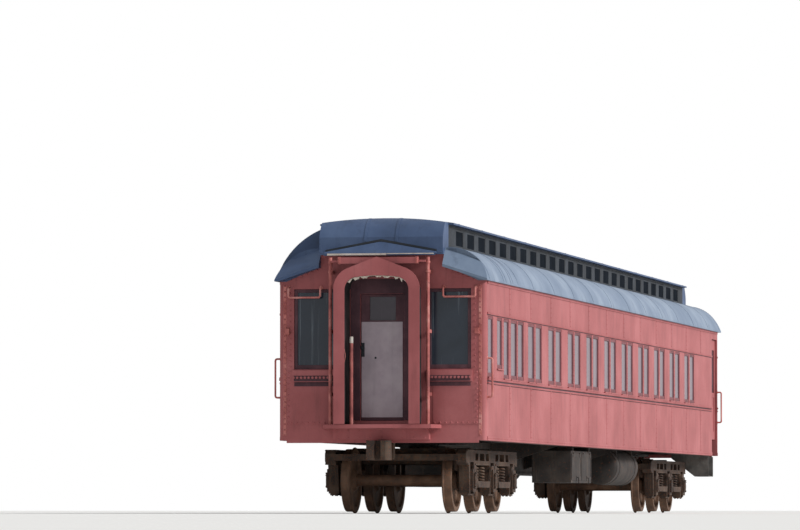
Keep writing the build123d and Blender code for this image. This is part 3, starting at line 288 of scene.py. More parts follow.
def darkGlass(name, s):
    # dust in soft clouds, thicker in streaks that rain has drawn down the pane
    material, tree, shader, place = startMaterial(name)
    dust = addNode(tree, "ShaderNodeTexNoise", links={"Vector": place},
                   inputs={"Scale": 1 / s["dustSize"], "Detail": 5.0})
    tone = addNode(tree, "ShaderNodeMix", data_type="RGBA", links={"Factor": dust.outputs["Fac"]},
                   inputs={"A": toLinear(s["deep"]), "B": toLinear(s["dust"])})
    stretched = addNode(tree, "ShaderNodeMapping", links={"Vector": place},
                        inputs={"Scale": (22.0, 22.0, 0.7)})
    streaks = addNode(tree, "ShaderNodeTexNoise", links={"Vector": stretched.outputs[0]},
                      inputs={"Scale": 1.0, "Detail": 3.0})
    share = addNode(tree, "ShaderNodeMapRange", links={"Value": streaks.outputs["Fac"]},
                    inputs={"From Min": 0.6, "From Max": 0.74, "To Min": 0.0, "To Max": s["streaks"]})
    streaked = addNode(tree, "ShaderNodeMix", data_type="RGBA",
                       links={"Factor": share.outputs[0], "A": tone.outputs["Result"]},
                       inputs={"B": toLinear(s["streak"])})
    tree.links.new(streaked.outputs["Result"], shader.inputs["Base Color"])
    rough = addNode(tree, "ShaderNodeMapRange", links={"Value": dust.outputs["Fac"]},
                    inputs={"To Min": 0.05, "To Max": 0.3})
    tree.links.new(rough.outputs[0], shader.inputs["Roughness"])
    shader.inputs["Specular IOR Level"].default_value = s["shine"]
    shader.inputs["Transmission Weight"].default_value = s["clear"]
    shader.inputs["IOR"].default_value = 1.5
    return material


glasses = {
    # door glass with dust on both faces
    "dustyDoorGlass": dict(
        deep="#3A343D", dust="#57505A", dustSize=0.3, streak="#77717A", streaks=0.3,
        clear=0.2, shine=0.3),
    # end panes over a dark room
    "darkRoomGlass": dict(
        deep="#222A35", dust="#333D49", dustSize=0.4, streak="#7C8790", streaks=0.55,
        clear=0.12, shine=0.3),
    # side panes: pale lilac for the drawn blinds behind them and for a painted reflection, with the shine
    # turned off
    "blindAndReflectionGlass": dict(
        deep="#5E5259", dust="#85767E", dustSize=0.6, streak="#A3959B", streaks=0.4,
        clear=0.0, shine=0.02),
    # clerestory panes painted black
    "blackedOutGlass": dict(
        deep="#15181C", dust="#262A30", dustSize=0.2, streak="#343941", streaks=0.3,
        clear=0.0, shine=0.0),
}
for name, s in glasses.items():
    looks[name] = darkGlass(name, s)

# the roof paint carries painted shade, and the dark paint is made darker as painted shade on the clerestory
# wall
slotLooks = {
    "body_paint": "fadedOxideRedPaint", "roof_paint": "shadedWeatheredRoofPaint", "dark_paint": "sootAndShadeDarkPaint",
    "frame_paint": "dustyFramePaint", "truck_casting": "rustyCastSteel", "wheel_steel": "rolledWheelSteel",
    "window_glass": "dustyDoorGlass", "pleated_fabric": "coatedCanvas", "floor_covering": "wornFloorCovering",
    "inside_paint": "creamInsidePaint", "door_paint": "maroonDoorPaint", "iron_paint": "barIronAndHighlightPaint",
    "tread_steel": "wornTreadSteel",
}
for part in frame["record"]["subparts"]:
    piece = nodes[part["node"]]
    piece.data.materials.clear()
    piece.data.materials.append(looks[slotLooks[part["material_slot"]]])
# painted light in these looks: the passage paint on the end doors is painted shade, the dark flakes on the
# posts are painted dappled shade, the side glass is partly a painted reflection, and the lighter right deck
# is painted sunlight
nodeLooks = {
    "end_posts": "dappledShadePipePaint", "gate_post": "dappledShadePipePaint", "near_end_door": "sootAndShadePassagePaint",
    "far_end_door": "sootAndShadePassagePaint", "end_window_glass": "darkRoomGlass",
    "right_side_glass": "blindAndReflectionGlass", "left_side_glass": "blindAndReflectionGlass",
    "right_side_deck": "sunlitDeckPaint",
}
for name, look in nodeLooks.items():
    nodes[name].data.materials[0] = looks[look]
print("materials ready")


def about(middle, half):
    return middle - half, middle + half


def onSide(sign, low, high):
    return sign * low, sign * high


# Makers of shapes: each gives a list of points and a list of faces
def across(axis, station, pair):
    # a point at a station of an axis, with a pair of values along the two others
    point = list(pair)
    point.insert(axis, station)
    return tuple(point)


def board(x, y, z, chamfer=0.003):
    # a board between two stations along each axis, with all its edges cut back
    low, high = zip(*(sorted(pair) for pair in (x, y, z)))
    corners = list(itertools.product((0, 1), repeat=3))
    points, index = [], {}
    for corner in corners:
        for axis in range(3):
            index[corner, axis] = len(points)
            point = [b - chamfer if far else a + chamfer for a, b, far in zip(low, high, corner)]
            point[axis] = high[axis] if corner[axis] else low[axis]
            points.append(tuple(point))
    faces = [[index[corner, axis] for axis in range(3)] for corner in corners]
    for axis in range(3):
        u, v = [i for i in range(3) if i != axis]
        for side in (0, 1):
            faces.append([index[across(axis, side, pair), axis] for pair in ((0, 0), (1, 0), (1, 1), (0, 1))])
        for pair in itertools.product((0, 1), repeat=2):
            one, two = (across(axis, side, pair) for side in (0, 1))
            faces.append([index[one, u], index[two, u], index[two, v], index[one, v]])
    return points, faces


def windowFrame(axis, face, low, high, stile, rail, chamfer=0.003):
    # four boards round a window whose width runs along an axis; low and high are its corners, across and up
    (u0, z0), (u1, z1) = low, high
    inside = (u0 + stile, u1 - stile)
    spans = [((u0, u0 + stile), (z0, z1)), ((u1 - stile, u1), (z0, z1)),
             (inside, (z0, z0 + rail)), (inside, (z1 - stile, z1))]
    return [board(*((width, face) if axis == 0 else (face, width)), height, chamfer)
            for width, height in spans]


def roundedPath(corners, bend, steps=5):
    corners = [Vector(c) for c in corners]
    path = [corners[0]]
    for before, here, after in zip(corners, corners[1:], corners[2:]):
        start = here + (before - here).normalized() * bend
        end = here + (after - here).normalized() * bend
        for k in range(steps + 1):
            t = k / steps
            path.append((1 - t) ** 2 * start + 2 * t * (1 - t) * here + t * t * end)
    path.append(corners[-1])
    return path


def ringFaces(count, sides):
    # faces between rings of points that follow each other, and one over each end
    last = (count - 1) * sides
    faces = [[i + k, i + (k + 1) % sides, i + (k + 1) % sides + sides, i + k + sides]
             for i in range(0, last, sides) for k in range(sides)]
    return faces + [list(range(sides)), list(range(last, last + sides))]


def tube(path, radius, sides=12):
    path, points = [Vector(p) for p in path], []
    side = (path[1] - path[0]).orthogonal()
    for i, here in enumerate(path):
        along = (path[min(i + 1, len(path) - 1)] - path[max(i - 1, 0)]).normalized()
        side = (side - along * side.dot(along)).normalized()
        up = along.cross(side)
        for k in range(sides):
            angle = 2 * math.pi * k / sides
            points.append(tuple(here + (side * math.cos(angle) + up * math.sin(angle)) * radius))
    return points, ringFaces(len(path), sides)


def lathe(profile, centre, axis, sides=48):
    # profile: distance along the axis and radius; it starts and ends on the axis or joins up with itself
    points, faces, rings = [], [], []
    for along, radius in profile:
        count = 1 if radius == 0 else sides
        rings.append(range(len(points), len(points) + count))
        for k in range(count):
            angle = 2 * math.pi * k / sides
            around = (centre[0] + radius * math.cos(angle), centre[1] + radius * math.sin(angle))
            points.append(across(axis, along, around))
    for one, two in zip(rings, rings[1:]):
        for k in range(sides):
            n = (k + 1) % sides
            face = [one[k % len(one)], one[n % len(one)], two[n % len(two)], two[k % len(two)]]
            faces.append(list(dict.fromkeys(face)))
    return points, faces


def roundBar(low, high, radius, centre, axis, sides=12):
    return lathe([(low, 0), (low, radius), (high, radius), (high, 0)], centre, axis, sides)


def fitting(outline, sign, face, centre, axis, sides):
    # a turned piece that stands out from a face, towards one side of an axis
    return lathe([(sign * (face + along), radius) for along, radius in outline], centre, axis, sides)


def strap(inner, outer, axis, low, high):
    # a flat bar between two lines in the plane across an axis
    low, high = sorted((low, high))
    points = [across(axis, *at) for one, two in zip(inner, outer)
              for at in ((low, one), (low, two), (high, two), (high, one))]
    return points, ringFaces(len(inner), 4)


def arcLine(start, middle, end, count):
    # points on the circle through three points of a plane, which are handled as complex numbers
    a, b, c = (complex(*p) for p in (start, middle, end))
    ratio = (c - a) / (b - a)
    centre = a + (b - a) * (ratio - abs(ratio) ** 2) / (2j * ratio.imag)
    toMiddle, sweep = (cmath.phase((p - centre) / (a - centre)) % (2 * math.pi) for p in (b, c))
    if toMiddle > sweep:
        sweep -= 2 * math.pi
    turned = [centre + (a - centre) * cmath.rect(1, sweep * k / count) for k in range(count + 1)]
    return [(p.real, p.imag) for p in turned]


def offsetLine(line, distance):
    # a line moved to its left by a distance
    moved = []
    for i, (x, y) in enumerate(line):
        before, after = line[max(i - 1, 0)], line[min(i + 1, len(line) - 1)]
        dx, dy = after[0] - before[0], after[1] - before[1]
        size = math.hypot(dx, dy)
        moved.append((x - dy / size * distance, y + dx / size * distance))
    return moved


def crossStraps(line, stations, s):
    # straps that follow a line across the car, one at each station of its length
    inner, outer = offsetLine(line, s["sunk"]), offsetLine(line, -s["height"])
    return [strap(inner, outer, 1, *about(y, s["width"] / 2)) for y in stations]


# Makers of pieces. A finish is the name of a look and of a slot
def smooth(mesh, angle):
    mesh.polygons.foreach_set("use_smooth", [True] * len(mesh.polygons))
    if angle:
        mesh.set_sharp_from_angle(angle=math.radians(angle))


def addPiece(name, mesh, body):
    piece = addObject(name, mesh)
    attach(piece, body)
    return piece


def shapePiece(name, shapes, finish, smoothAngle=None, body="carbody"):
    look, slotName = finish
    points, faces = [], []
    for own, rings in shapes:
        faces += [[i + len(points) for i in ring] for ring in rings]
        points += own
    mesh = makeMesh(name, points, faces)
    work = bmesh.new()
    work.from_mesh(mesh)
    bmesh.ops.recalc_face_normals(work, faces=work.faces)
    work.to_mesh(mesh)
    work.free()
    mesh.materials.append(looks[look])
    if smoothAngle:
        smooth(mesh, smoothAngle)
    return addPiece(name, mesh, body)


def gridFaces(rows, columns):
    # faces between rows of points that follow each other
    return [[a, a + 1, a + columns + 1, a + columns]
            for row in range(rows - 1) for a in range(row * columns, (row + 1) * columns - 1)]


def softPiece(name, points, faces, look, thickness):
    # a cloth of one layer of faces, given its thickness; the second value is its area
    mesh = makeMesh(name, points, faces)
    area = sum(face.area for face in mesh.polygons)
    mesh.materials.append(looks[look])
    smooth(mesh, None)
    piece = addPiece(name, mesh, "carbody")
    wall = piece.modifiers.new("thickness", "SOLIDIFY")
    wall.thickness = thickness
    wall.offset = 0
    return piece, area


# Geometry Nodes: a unit repeated on points that carry the way it faces
def repeatTree(name, sizes, makeUnit):
    tree = bpy.data.node_groups.new(name, "GeometryNodeTree")
    sockets = {"Points": "Geometry", **{size: "Float" for size in sizes}, "Finish": "Material"}
    for socket, kind in sockets.items():
        tree.interface.new_socket(socket, in_out="INPUT", socket_type="NodeSocket" + kind)
    tree.interface.new_socket("Geometry", in_out="OUTPUT", socket_type="NodeSocketGeometry")
    start = addNode(tree, "NodeGroupInput")
    unit = makeUnit(tree, start.outputs)
    facing = addNode(tree, "GeometryNodeInputNamedAttribute", data_type="FLOAT_VECTOR",
                     inputs={"Name": "facing"})
    turned = addNode(tree, "FunctionNodeAlignRotationToVector", axis="Z",
                     links={"Vector": facing.outputs["Attribute"]})
    placed = addNode(tree, "GeometryNodeInstanceOnPoints",
                     links={"Points": start.outputs["Points"], "Instance": unit,
                            "Rotation": turned.outputs[0]})
    real = addNode(tree, "GeometryNodeRealizeInstances", links={"Geometry": placed.outputs[0]})
    painted = addNode(tree, "GeometryNodeSetMaterial",
                      links={"Geometry": real.outputs[0], "Material": start.outputs["Finish"]})
    addNode(tree, "NodeGroupOutput", links={"Geometry": painted.outputs[0]})
    return tree


def domeUnit(tree, sizes):
    ball = addNode(tree, "GeometryNodeMeshUVSphere", inputs={"Segments": 8, "Rings": 4},
                   links={"Radius": sizes["Radius"]})
    ratio = addNode(tree, "ShaderNodeMath", operation="DIVIDE",
                    links={0: sizes["Height"], 1: sizes["Radius"]})
    squash = addNode(tree, "ShaderNodeCombineXYZ", inputs={"X": 1.0, "Y": 1.0},
                     links={"Z": ratio.outputs[0]})
    head = addNode(tree, "GeometryNodeTransform",
                   links={"Geometry": ball.outputs["Mesh"], "Scale": squash.outputs[0]})
    return head.outputs[0]


def hexUnit(tree, sizes):
    head = addNode(tree, "GeometryNodeMeshCylinder", fill_type="NGON", inputs={"Vertices": 6},
                   links={"Radius": sizes["Radius"], "Depth": sizes["Height"]})
    return head.outputs["Mesh"]


def coilUnit(tree, sizes):
    line = addNode(tree, "GeometryNodeCurveSpiral", inputs={"Resolution": 20},
                   links={"Rotations": sizes["Turns"], "Start Radius": sizes["Radius"],
                          "End Radius": sizes["Radius"], "Height": sizes["Height"]})
    wire = addNode(tree, "GeometryNodeCurvePrimitiveCircle", inputs={"Resolution": 8},
                   links={"Radius": sizes["Wire"]})
    coil = addNode(tree, "GeometryNodeCurveToMesh", inputs={"Fill Caps": True},
                   links={"Curve": line.outputs[0], "Profile Curve": wire.outputs["Curve"]})
    return coil.outputs[0]


trees = {
    "rivet": repeatTree("rivetRows", ["Radius", "Height"], domeUnit),
    "bolt": repeatTree("boltRows", ["Radius", "Height"], hexUnit),
    "coil": repeatTree("coilSprings", ["Radius", "Wire", "Height", "Turns"], coilUnit),
}


def grow(name, kind, places, finish, s, body="carbody"):
    # places: point and facing of each copy; the tree takes its sizes from the settings, by their names
    look, slotName = finish
    mesh = makeMesh(name + "Points", [point for point, facing in places])
    attribute = mesh.attributes.new("facing", "FLOAT_VECTOR", "POINT")
    attribute.data.foreach_set("vector", [c for point, facing in places for c in facing])
    holder = addObject(name + "Points", mesh)
    modifier = holder.modifiers.new("repeat", "NODES")
    modifier.node_group = trees[kind]
    for item in trees[kind].interface.items_tree:
        if item.item_type == "SOCKET" and item.in_out == "INPUT":
            if item.name == "Finish":
                modifier[item.identifier] = looks[look]
            elif item.name != "Points":
                modifier[item.identifier] = float(s[item.name.lower()])
    result = bpy.data.meshes.new_from_object(holder.evaluated_get(bpy.context.evaluated_depsgraph_get()))
    bpy.data.objects.remove(holder)
    result.name = name
    smooth(result, 40)
    return addPiece(name, result, body)


def spread(low, high, pitch):
    count = max(1, round((high - low) / pitch))
    return [low + (high - low) * k / count for k in range(count + 1)]


def rivetRow(start, stop, facing, pitch=0.08):
    # places from one point to another, about a pitch apart
    count = max(1, round(math.dist(start, stop) / pitch))
    return [(tuple(a + (b - a) * k / count for a, b in zip(start, stop)), facing) for k in range(count + 1)]


def endRows(rows, pitch=0.08):
    # rows across the ends: signs of ends and of sides, distance from the car's middle, first and last place
    places = []
    for endSigns, sideSigns, y, first, last in rows:
        for end, sign in itertools.product(endSigns, sideSigns):
            start, stop = ((sign * x, end * y, z) for x, z in (first, last))
            places += rivetRow(start, stop, (0, end, 0), pitch)
    return places


def endPlaces(x, y, heights):
    # places at both sides of both ends
    return [((sign * x, end * y, z), (0, end, 0))
            for end, sign, z in itertools.product(signs, signs, heights)]


def boards(x, y, z, chamfer=0.003):
    # a board at both sides of both ends
    return [board(onSide(sign, *x), onSide(end, *y), z, chamfer)
            for end, sign in itertools.product(signs, repeat=2)]


def paneBoxes(nodeName, axis):
    # the lowest and highest corner of each pane, which lie one after the other along an axis
    points = [tuple(v.co) for v in nodes[nodeName].data.vertices]
    stations = sorted({round(p[axis], 4) for p in points})
    boxes = []
    for low, high in zip(stations[::2], stations[1::2]):
        own = [p for p in points if low - 0.001 <= p[axis] <= high + 0.001]
        boxes.append(([min(p[i] for p in own) for i in range(3)], [max(p[i] for p in own) for i in range(3)]))
    return boxes


# Stations, signs and finishes shared by the pieces
halfLength = 12.2        # to the end walls
halfWidth = 1.508
halfRoof = 0.9           # half the clerestory
roofTop = 4.24
doorFace = halfLength - 0.035
skin = 0.0003            # room between a fitting and the face it lies on
thin = 0.001             # chamfer of thin strips
signs = (-1, 1)
ends = ((-1, "near"), (1, "far"))
sides = ((1, "right"), (-1, "left"))
redSheet = ("fadedOxideRedPaint", "body_paint")
sootAndShadeSheet = ("sootAndShadePassagePaint", "body_paint")
shadedRoofSheet = ("shadedWeatheredRoofPaint", "roof_paint")
sootyLatch = ("sootAndShadeDarkPaint", "door_paint")
dappledPipeIron = ("dappledShadePipePaint", "iron_paint")
barIron = ("barIronAndHighlightPaint", "iron_paint")
truckSteel = ("rustyCastSteel", "truck_casting")
frameSteel = ("dustyFramePaint", "frame_paint")
treadSteel = ("wornTreadSteel", "tread_steel")

# Sides: rivets, joint straps and painted shade under the mouldings. A row is a height and how far it stands
# out
sideRivets = dict(
    radius=0.0085, height=0.0055, edge=0.026, margin=0.12, windowLow=1.98, windowTop=0.03,
    doorway=(11.31, 12.09), doorTop=3.2, rows=((1.075, 0.01), (1.8675, 0.014), (1.92, 0.02), (2.859, 0.014),
    (3.305, 0.012)))
panelStraps = dict(
    first=0.15, pitch=1.83, count=12, half=0.04, out=(-0.001, 0.003),
    spans=((1.106, 1.8545), (2.8735, 3.2845)), rivetOff=0.02, rivetSpans=((1.13, 1.83), (2.9, 3.27)))
panes = {}
for sign, side in sides:
    panes[side] = paneBoxes(side + "_side_glass", 1)
    s, facing, places = sideRivets, (sign, 0, 0), []
    y, (doorLow, doorHigh) = halfLength - s["margin"], s["doorway"]
    for z, out in s["rows"]:
        x = sign * (halfWidth + out)
        row = rivetRow((x, -y, z), (x, y, z), facing)
        places += [place for place in row if z > s["doorTop"] or not doorLow < place[0][1] < doorHigh]
    x = sign * halfWidth
    for low, high in panes[side]:
        for y in (low[1] - s["edge"], high[1] + s["edge"]):
            places += rivetRow((x, y, max(low[2], s["windowLow"])), (x, y, high[2] - s["windowTop"]), facing)
    s, straps = panelStraps, []
    back, x = (sign * (halfWidth + out) for out in s["out"])
    for k in range(1, s["count"] + 1):
        seam = -halfLength + s["first"] + k * s["pitch"]
        for y, (bottom, top) in itertools.product(about(seam, s["rivetOff"]), s["rivetSpans"]):
            places += rivetRow((x, y, bottom), (x, y, top), facing)
        straps += [board((back, x), about(seam, s["half"]), span, thin) for span in s["spans"]]
    grow(side + "SideRivets", "rivet", places, redSheet, sideRivets)
    shapePiece(side + "PanelStraps", straps, redSheet)
# painted shade: dark strips just under the three mouldings, where their shadow falls
mouldingShade = dict(
    rows=((1.846, 1.8543), (1.8807, 1.8998), (2.833, 2.8443)), y=(-12.13, 11.3), out=0.0022, chamfer=0.0006)
for sign, side in sides:
    x, y = onSide(sign, halfWidth + skin, halfWidth + mouldingShade["out"]), mouldingShade["y"]
    shapePiece(side + "MouldingShade", [board(x, y, z, mouldingShade["chamfer"]) for z in mouldingShade["rows"]], sootAndShadeSheet)
print("side rivets ready")

# Sashes and sills of the side windows; a low window has no sill
sash = dict(
    stile=0.042, rail=0.058, depth=0.013, clear=0.0008, glassGap=0.0004, sillOut=0.026, sillPast=0.03,
    sillUnder=(0.019, 0.001), sillFrom=1.95)
for sign, side in sides:
    s, frames, sills = sash, [], []
    for low, high in panes[side]:
        glass = max(abs(low[0]), abs(high[0])) + s["glassGap"]
        corners = [(low[1] + s["clear"], low[2] + s["clear"]), (high[1] - s["clear"], high[2] - s["clear"])]
        frames += windowFrame(1, onSide(sign, glass, glass + s["depth"]), *corners, s["stile"], s["rail"])
        if low[2] > s["sillFrom"]:
            sills.append(board(onSide(sign, halfWidth + skin, halfWidth + s["sillOut"]),
                               (low[1] - s["sillPast"], high[1] + s["sillPast"]),
                               [low[2] - under for under in s["sillUnder"]]))
    shapePiece(side + "WindowSashes", frames, ("maroonDoorPaint", "body_paint"))
    shapePiece(side + "WindowSills", sills, redSheet)
print("side windows ready")

# End windows: sashes and the bolts of the ledge under them
endSash = dict(stile=0.048, rail=0.06, depth=0.014, clear=0.001, glassGap=0.0004)
frames = []
for low, high in paneBoxes("end_window_glass", 0):
    s = endSash
    corners = [(low[0] + s["clear"], low[2] + s["clear"]), (high[0] - s["clear"], high[2] - s["clear"])]
    frames += windowFrame(0, (low[1] - s["depth"], low[1] - s["glassGap"]), *corners, s["stile"], s["rail"])
shapePiece("endWindowSashes", frames, sootAndShadeSheet)
ledgeBolt = dict(x=(0.675, 1.285), pitch=0.056, out=0.045, z=1.945, radius=0.019, height=0.044)
row = ((-1,), signs, halfLength + ledgeBolt["out"], *((x, ledgeBolt["z"]) for x in ledgeBolt["x"]))
grow("ledgeBolts", "bolt", endRows([row], ledgeBolt["pitch"]), redSheet, ledgeBolt)

# Rivets of the end walls. A row says at which ends, how far out, and its first and last place across and up
endRivets = dict(
    radius=0.014, height=0.011, rows=[((-1,), 0, (1.345, 2.1), (1.345, 3.24)),
    ((-1,), 0.006, (1.372, 1.3), (1.372, 2.02)), ((-1,), 0.006, (0.76, 1.3), (1.33, 1.3)),
    ((-1,), 0, (0.95, 3.49), (1.33, 3.3418)), (signs, 0.004, (1.425, 1.12), (1.425, 3.26)),
    ((1,), 0, (0.62, 1.3), (1.33, 1.3)), ((1,), 0, (0.62, 1.92), (1.33, 1.92)),
    ((1,), 0, (0.62, 2.84), (1.33, 2.84))])
rows = [(where, signs, halfLength + out, first, last) for where, out, first, last in endRivets["rows"]]
grow("endWallRivets", "rivet", endRows(rows), redSheet, endRivets)
print("end windows ready")

# Painted shade: dark casings round the end doorways, standing for the shade in the passage behind the
# diaphragm
shadeCasing = dict(x=(0.3215, 0.462), z=(1.332, 3.355), doorTop=3.142, out=(0.0004, 0.008))
y = [halfLength + out for out in shadeCasing["out"]]
shapes, head = boards(shadeCasing["x"], y, shadeCasing["z"]), (shadeCasing["doorTop"], shadeCasing["z"][1])
shapes += [board(about(0, shadeCasing["x"][0]), onSide(end, *y), head) for end in signs]
shapePiece("passageShadeCasings", shapes, sootAndShadeSheet)

# End doors: a pale sheet and a key plate on the near door, a latch on both
doorSheet = dict(x=(-0.308, 0.29), z=(1.375, 2.742), thickness=0.003)
y = onSide(-1, doorFace + skin, doorFace + doorSheet["thickness"])
sheet = board(doorSheet["x"], y, doorSheet["z"], thin)
shapePiece("nearDoorSheet", [sheet], ("palePanelPaint", "door_paint"), body="near_end_door")
latch = dict(x=-0.288, z=2.372, half=0.024, low=0.13, high=0.07, thickness=0.003)
knob = [(0, 0), (0, 0.022), (0.006, 0.024), (0.010, 0.012), (0.026, 0.011), (0.032, 0.024), (0.046, 0.026),
        (0.056, 0.018), (0.058, 0)]
for end, name in ends:
    s = latch
    face = doorFace + (doorSheet["thickness"] if end < 0 else 0) + skin
    x, z = -end * s["x"], s["z"]
    shapes = [fitting(knob, end, face, (x, z), 1, 24),
              board(about(x, s["half"]), onSide(end, face, face + s["thickness"]),
                    (z - s["low"], z + s["high"]), thin)]
    shapePiece(name + "DoorLatch", shapes, sootyLatch, 30, name + "_end_door")
keyPlate = dict(
    place=(-0.105, 2.226), outline=[(0, 0), (0, 0.016), (0.003, 0.015), (0.004, 0.006), (0.001, 0.004),
    (0.001, 0)])
plate = fitting(keyPlate["outline"], -1, doorFace + doorSheet["thickness"] + skin, keyPlate["place"], 1, 20)
shapePiece("nearDoorKeyPlate", [plate], sootyLatch, 30, "near_end_door")
print("end doors ready")

# Roof ends: seams over the hood, a painted shadow strip over the rain hood, rivets, and pale strips along its
# lip that are a painted highlight of the lit edge
hood = dict(
    front=halfLength + 0.1, back=halfLength - 0.34, low=3.89, shoulder=3.95, bend=(0.125, 0.12), crown=0.004,
    drop=0.07, least=0.004, seams=(-0.225, 0.225), width=0.036, height=0.007, sunk=0.002)
s, shapes = hood, []
for end, x in itertools.product(signs, hood["seams"]):
    line = [(s["front"], s["low"])]
    line += arcLine((s["front"], s["shoulder"]), (s["front"] - s["bend"][0], roofTop - s["bend"][1]),
                    (s["back"], roofTop + s["crown"]), 16)
    crown = roofTop - s["crown"] - s["drop"] * (x / halfRoof) ** 2
    path = [(y, min(z, crown)) for y, z in line]
    path = [p for i, p in enumerate(path) if i == 0 or math.dist(p, path[i - 1]) > s["least"]]
    inner, outer = ([(end * y, z) for y, z in offsetLine(path, out)] for out in (s["sunk"], -s["height"]))
    shapes.append(strap(inner, outer, 0, *about(x, s["width"] / 2)))
shapePiece("hoodSeams", shapes, shadedRoofSheet, 30)
# painted shadow: a dark strip along the gap between the hood and the rain hood
hoodShadow = dict(line=((-0.81, 3.737), (0, 3.887), (0.81, 3.737)), width=0.034, out=0.006)
high = [(x, z + hoodShadow["width"]) for x, z in hoodShadow["line"]]
shapes = [strap(hoodShadow["line"], high, 1, *onSide(end, hood["front"], hood["front"] + hoodShadow["out"]))
          for end in signs]
shapePiece("hoodShadowStrips", shapes, ("sootAndShadeDarkPaint", "dark_paint"))
hoodRivets = dict(corner=(0.86, 3.73), x=0.875, z=(3.73, 3.93), pitch=0.07, radius=0.008, height=0.005)
s = hoodRivets
rivets = endPlaces(s["corner"][0], hood["front"], s["corner"][1:])
rivets += endRows([(signs, signs, hood["front"], *((s["x"], z) for z in s["z"]))], s["pitch"])
grow("hoodRivets", "rivet", rivets, shadedRoofSheet, hoodRivets)
# painted highlight: pale strips along the rain hood's lip, where light catches the edge
dripHighlight = dict(
    lip=halfLength + 0.228, out=0.0035, strips=(((-0.76, 0.1), (3.686, 3.713)),
    ((0.105, 0.79), (3.699, 3.712))))
y = dripHighlight["lip"] + skin, dripHighlight["lip"] + dripHighlight["out"]
shapes = [board(x, onSide(end, *y), z, thin) for end in signs for x, z in dripHighlight["strips"]]
shapePiece("dripHighlightStrips", shapes, ("creamTrimAndHighlightPaint", "roof_paint"))

# Seams across the right deck and the upper roof
seam = dict(
    width=0.026, height=0.004, sunk=0.002, roof=(-11.4, 11.4, 1.9),
    deckArc=((1.55, 3.347), (1.309656, 3.69486), (0.9, 3.8)),
    roofArc=((0.98, 4.165), (0, 4.2355), (-0.98, 4.165)), deck=[-12.13, -10.95, -10.75, -10.35, -10.18,
    -9.75] + spread(-8.4, 10.6, 1.9) + [12.13])
straps = crossStraps(arcLine(*seam["deckArc"], 18)[:-1], seam["deck"], seam)
shapePiece("rightDeckSeams", straps, ("sunlitDeckPaint", "roof_paint"), 30)
straps = crossStraps(arcLine(*seam["roofArc"], 22), spread(*seam["roof"]), seam)
shapePiece("upperRoofSeams", straps, shadedRoofSheet, 30)

# Clerestory windows: a dark pane in each recess with a frame round it
clerestory = dict(
    count=25, pitch=0.915, halfLength=0.31, z=(3.835, 4.105), recess=0.012, clear=0.001, frame=0.03,
    pane=0.003, paneChamfer=0.0005, frameChamfer=0.002)
s, shapes, frames = clerestory, [], []
back, border = halfRoof - s["recess"], s["frame"]
z0, z1 = s["z"][0] + s["clear"], s["z"][1] - s["clear"]
for sign, index in itertools.product(signs, range(s["count"])):
    middle = (index - (s["count"] - 1) / 2) * s["pitch"]
    y0, y1 = (middle + part * (s["halfLength"] - s["clear"]) for part in signs)
    x = onSide(sign, back + skin, back + s["pane"])
    shapes.append(board(x, (y0 + border, y1 - border), (z0 + border, z1 - border), s["paneChamfer"]))
    x = onSide(sign, back + skin, halfRoof - s["clear"])
    frames += windowFrame(1, x, (y0, z0), (y1, z1), border, border, s["frameChamfer"])
shapePiece("clerestoryPanes", shapes, ("blackedOutGlass", "window_glass"))
shapePiece("clerestoryFrames", frames, ("sootAndShadeDarkPaint", "dark_paint"))
print("roof ready")

# Diaphragm bellows: one pleated sheet of canvas from the end wall to the face plate
bellows = dict(
    folds=5, steps=6, back=halfLength + 0.0008, front=halfLength + 0.4295, thickness=0.004,
    outer=[(0.588, 1.279), (0.588, 3.206), (0.53, 3.35), (0.401, 3.439), (0, 3.547)], inner=[(0.474, 1.279),
    (0.474, 3.192), (0.436, 3.308), (0.324, 3.377), (0, 3.398)], parts=[34, 5, 5, 10], uneven=0.14,
    ripple=0.003)


def alongArch(keys, parts):
    line = []
    for (x0, z0), (x1, z1), n in zip(keys, keys[1:], parts):
        line += [(x0 + (x1 - x0) * k / n, z0 + (z1 - z0) * k / n) for k in range(n)]
    line.append(keys[-1])
    return line + [(-x, z) for x, z in reversed(line[:-1])]


def pleatedSheet(name, end, s):
    outer, inner = alongArch(s["outer"], s["parts"]), alongArch(s["inner"], s["parts"])
    rows = 2 * s["folds"] * s["steps"]
    points = []
    for row in range(rows + 1):
        y = s["back"] + (s["front"] - s["back"]) * row / rows
        share = 0.5 - 0.5 * math.cos(math.pi * row / s["steps"])
        for column, ((xo, zo), (xi, zi)) in enumerate(zip(outer, inner)):
            uneven = noise.noise(Vector((column * 0.11, row * 0.04, end * 3.0)))
            part = share * (1 - s["uneven"] + s["uneven"] * uneven)
            ripple = s["ripple"] * noise.noise(Vector((column * 0.31, row * 0.09, 7.0)))
            shift = ripple if 0 < row < rows else 0
            points.append((xi + (xo - xi) * part, end * (y + shift), zi + (zo - zi) * part))
    faces = gridFaces(rows + 1, len(outer))
    piece, area = softPiece(name, points, faces, "coatedCanvas", s["thickness"])
    return piece


sheets = [pleatedSheet(name + "Bellows", end, bellows) for end, name in ends]
for piece in sheets:
    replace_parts(piece, "diaphragm_bellows")

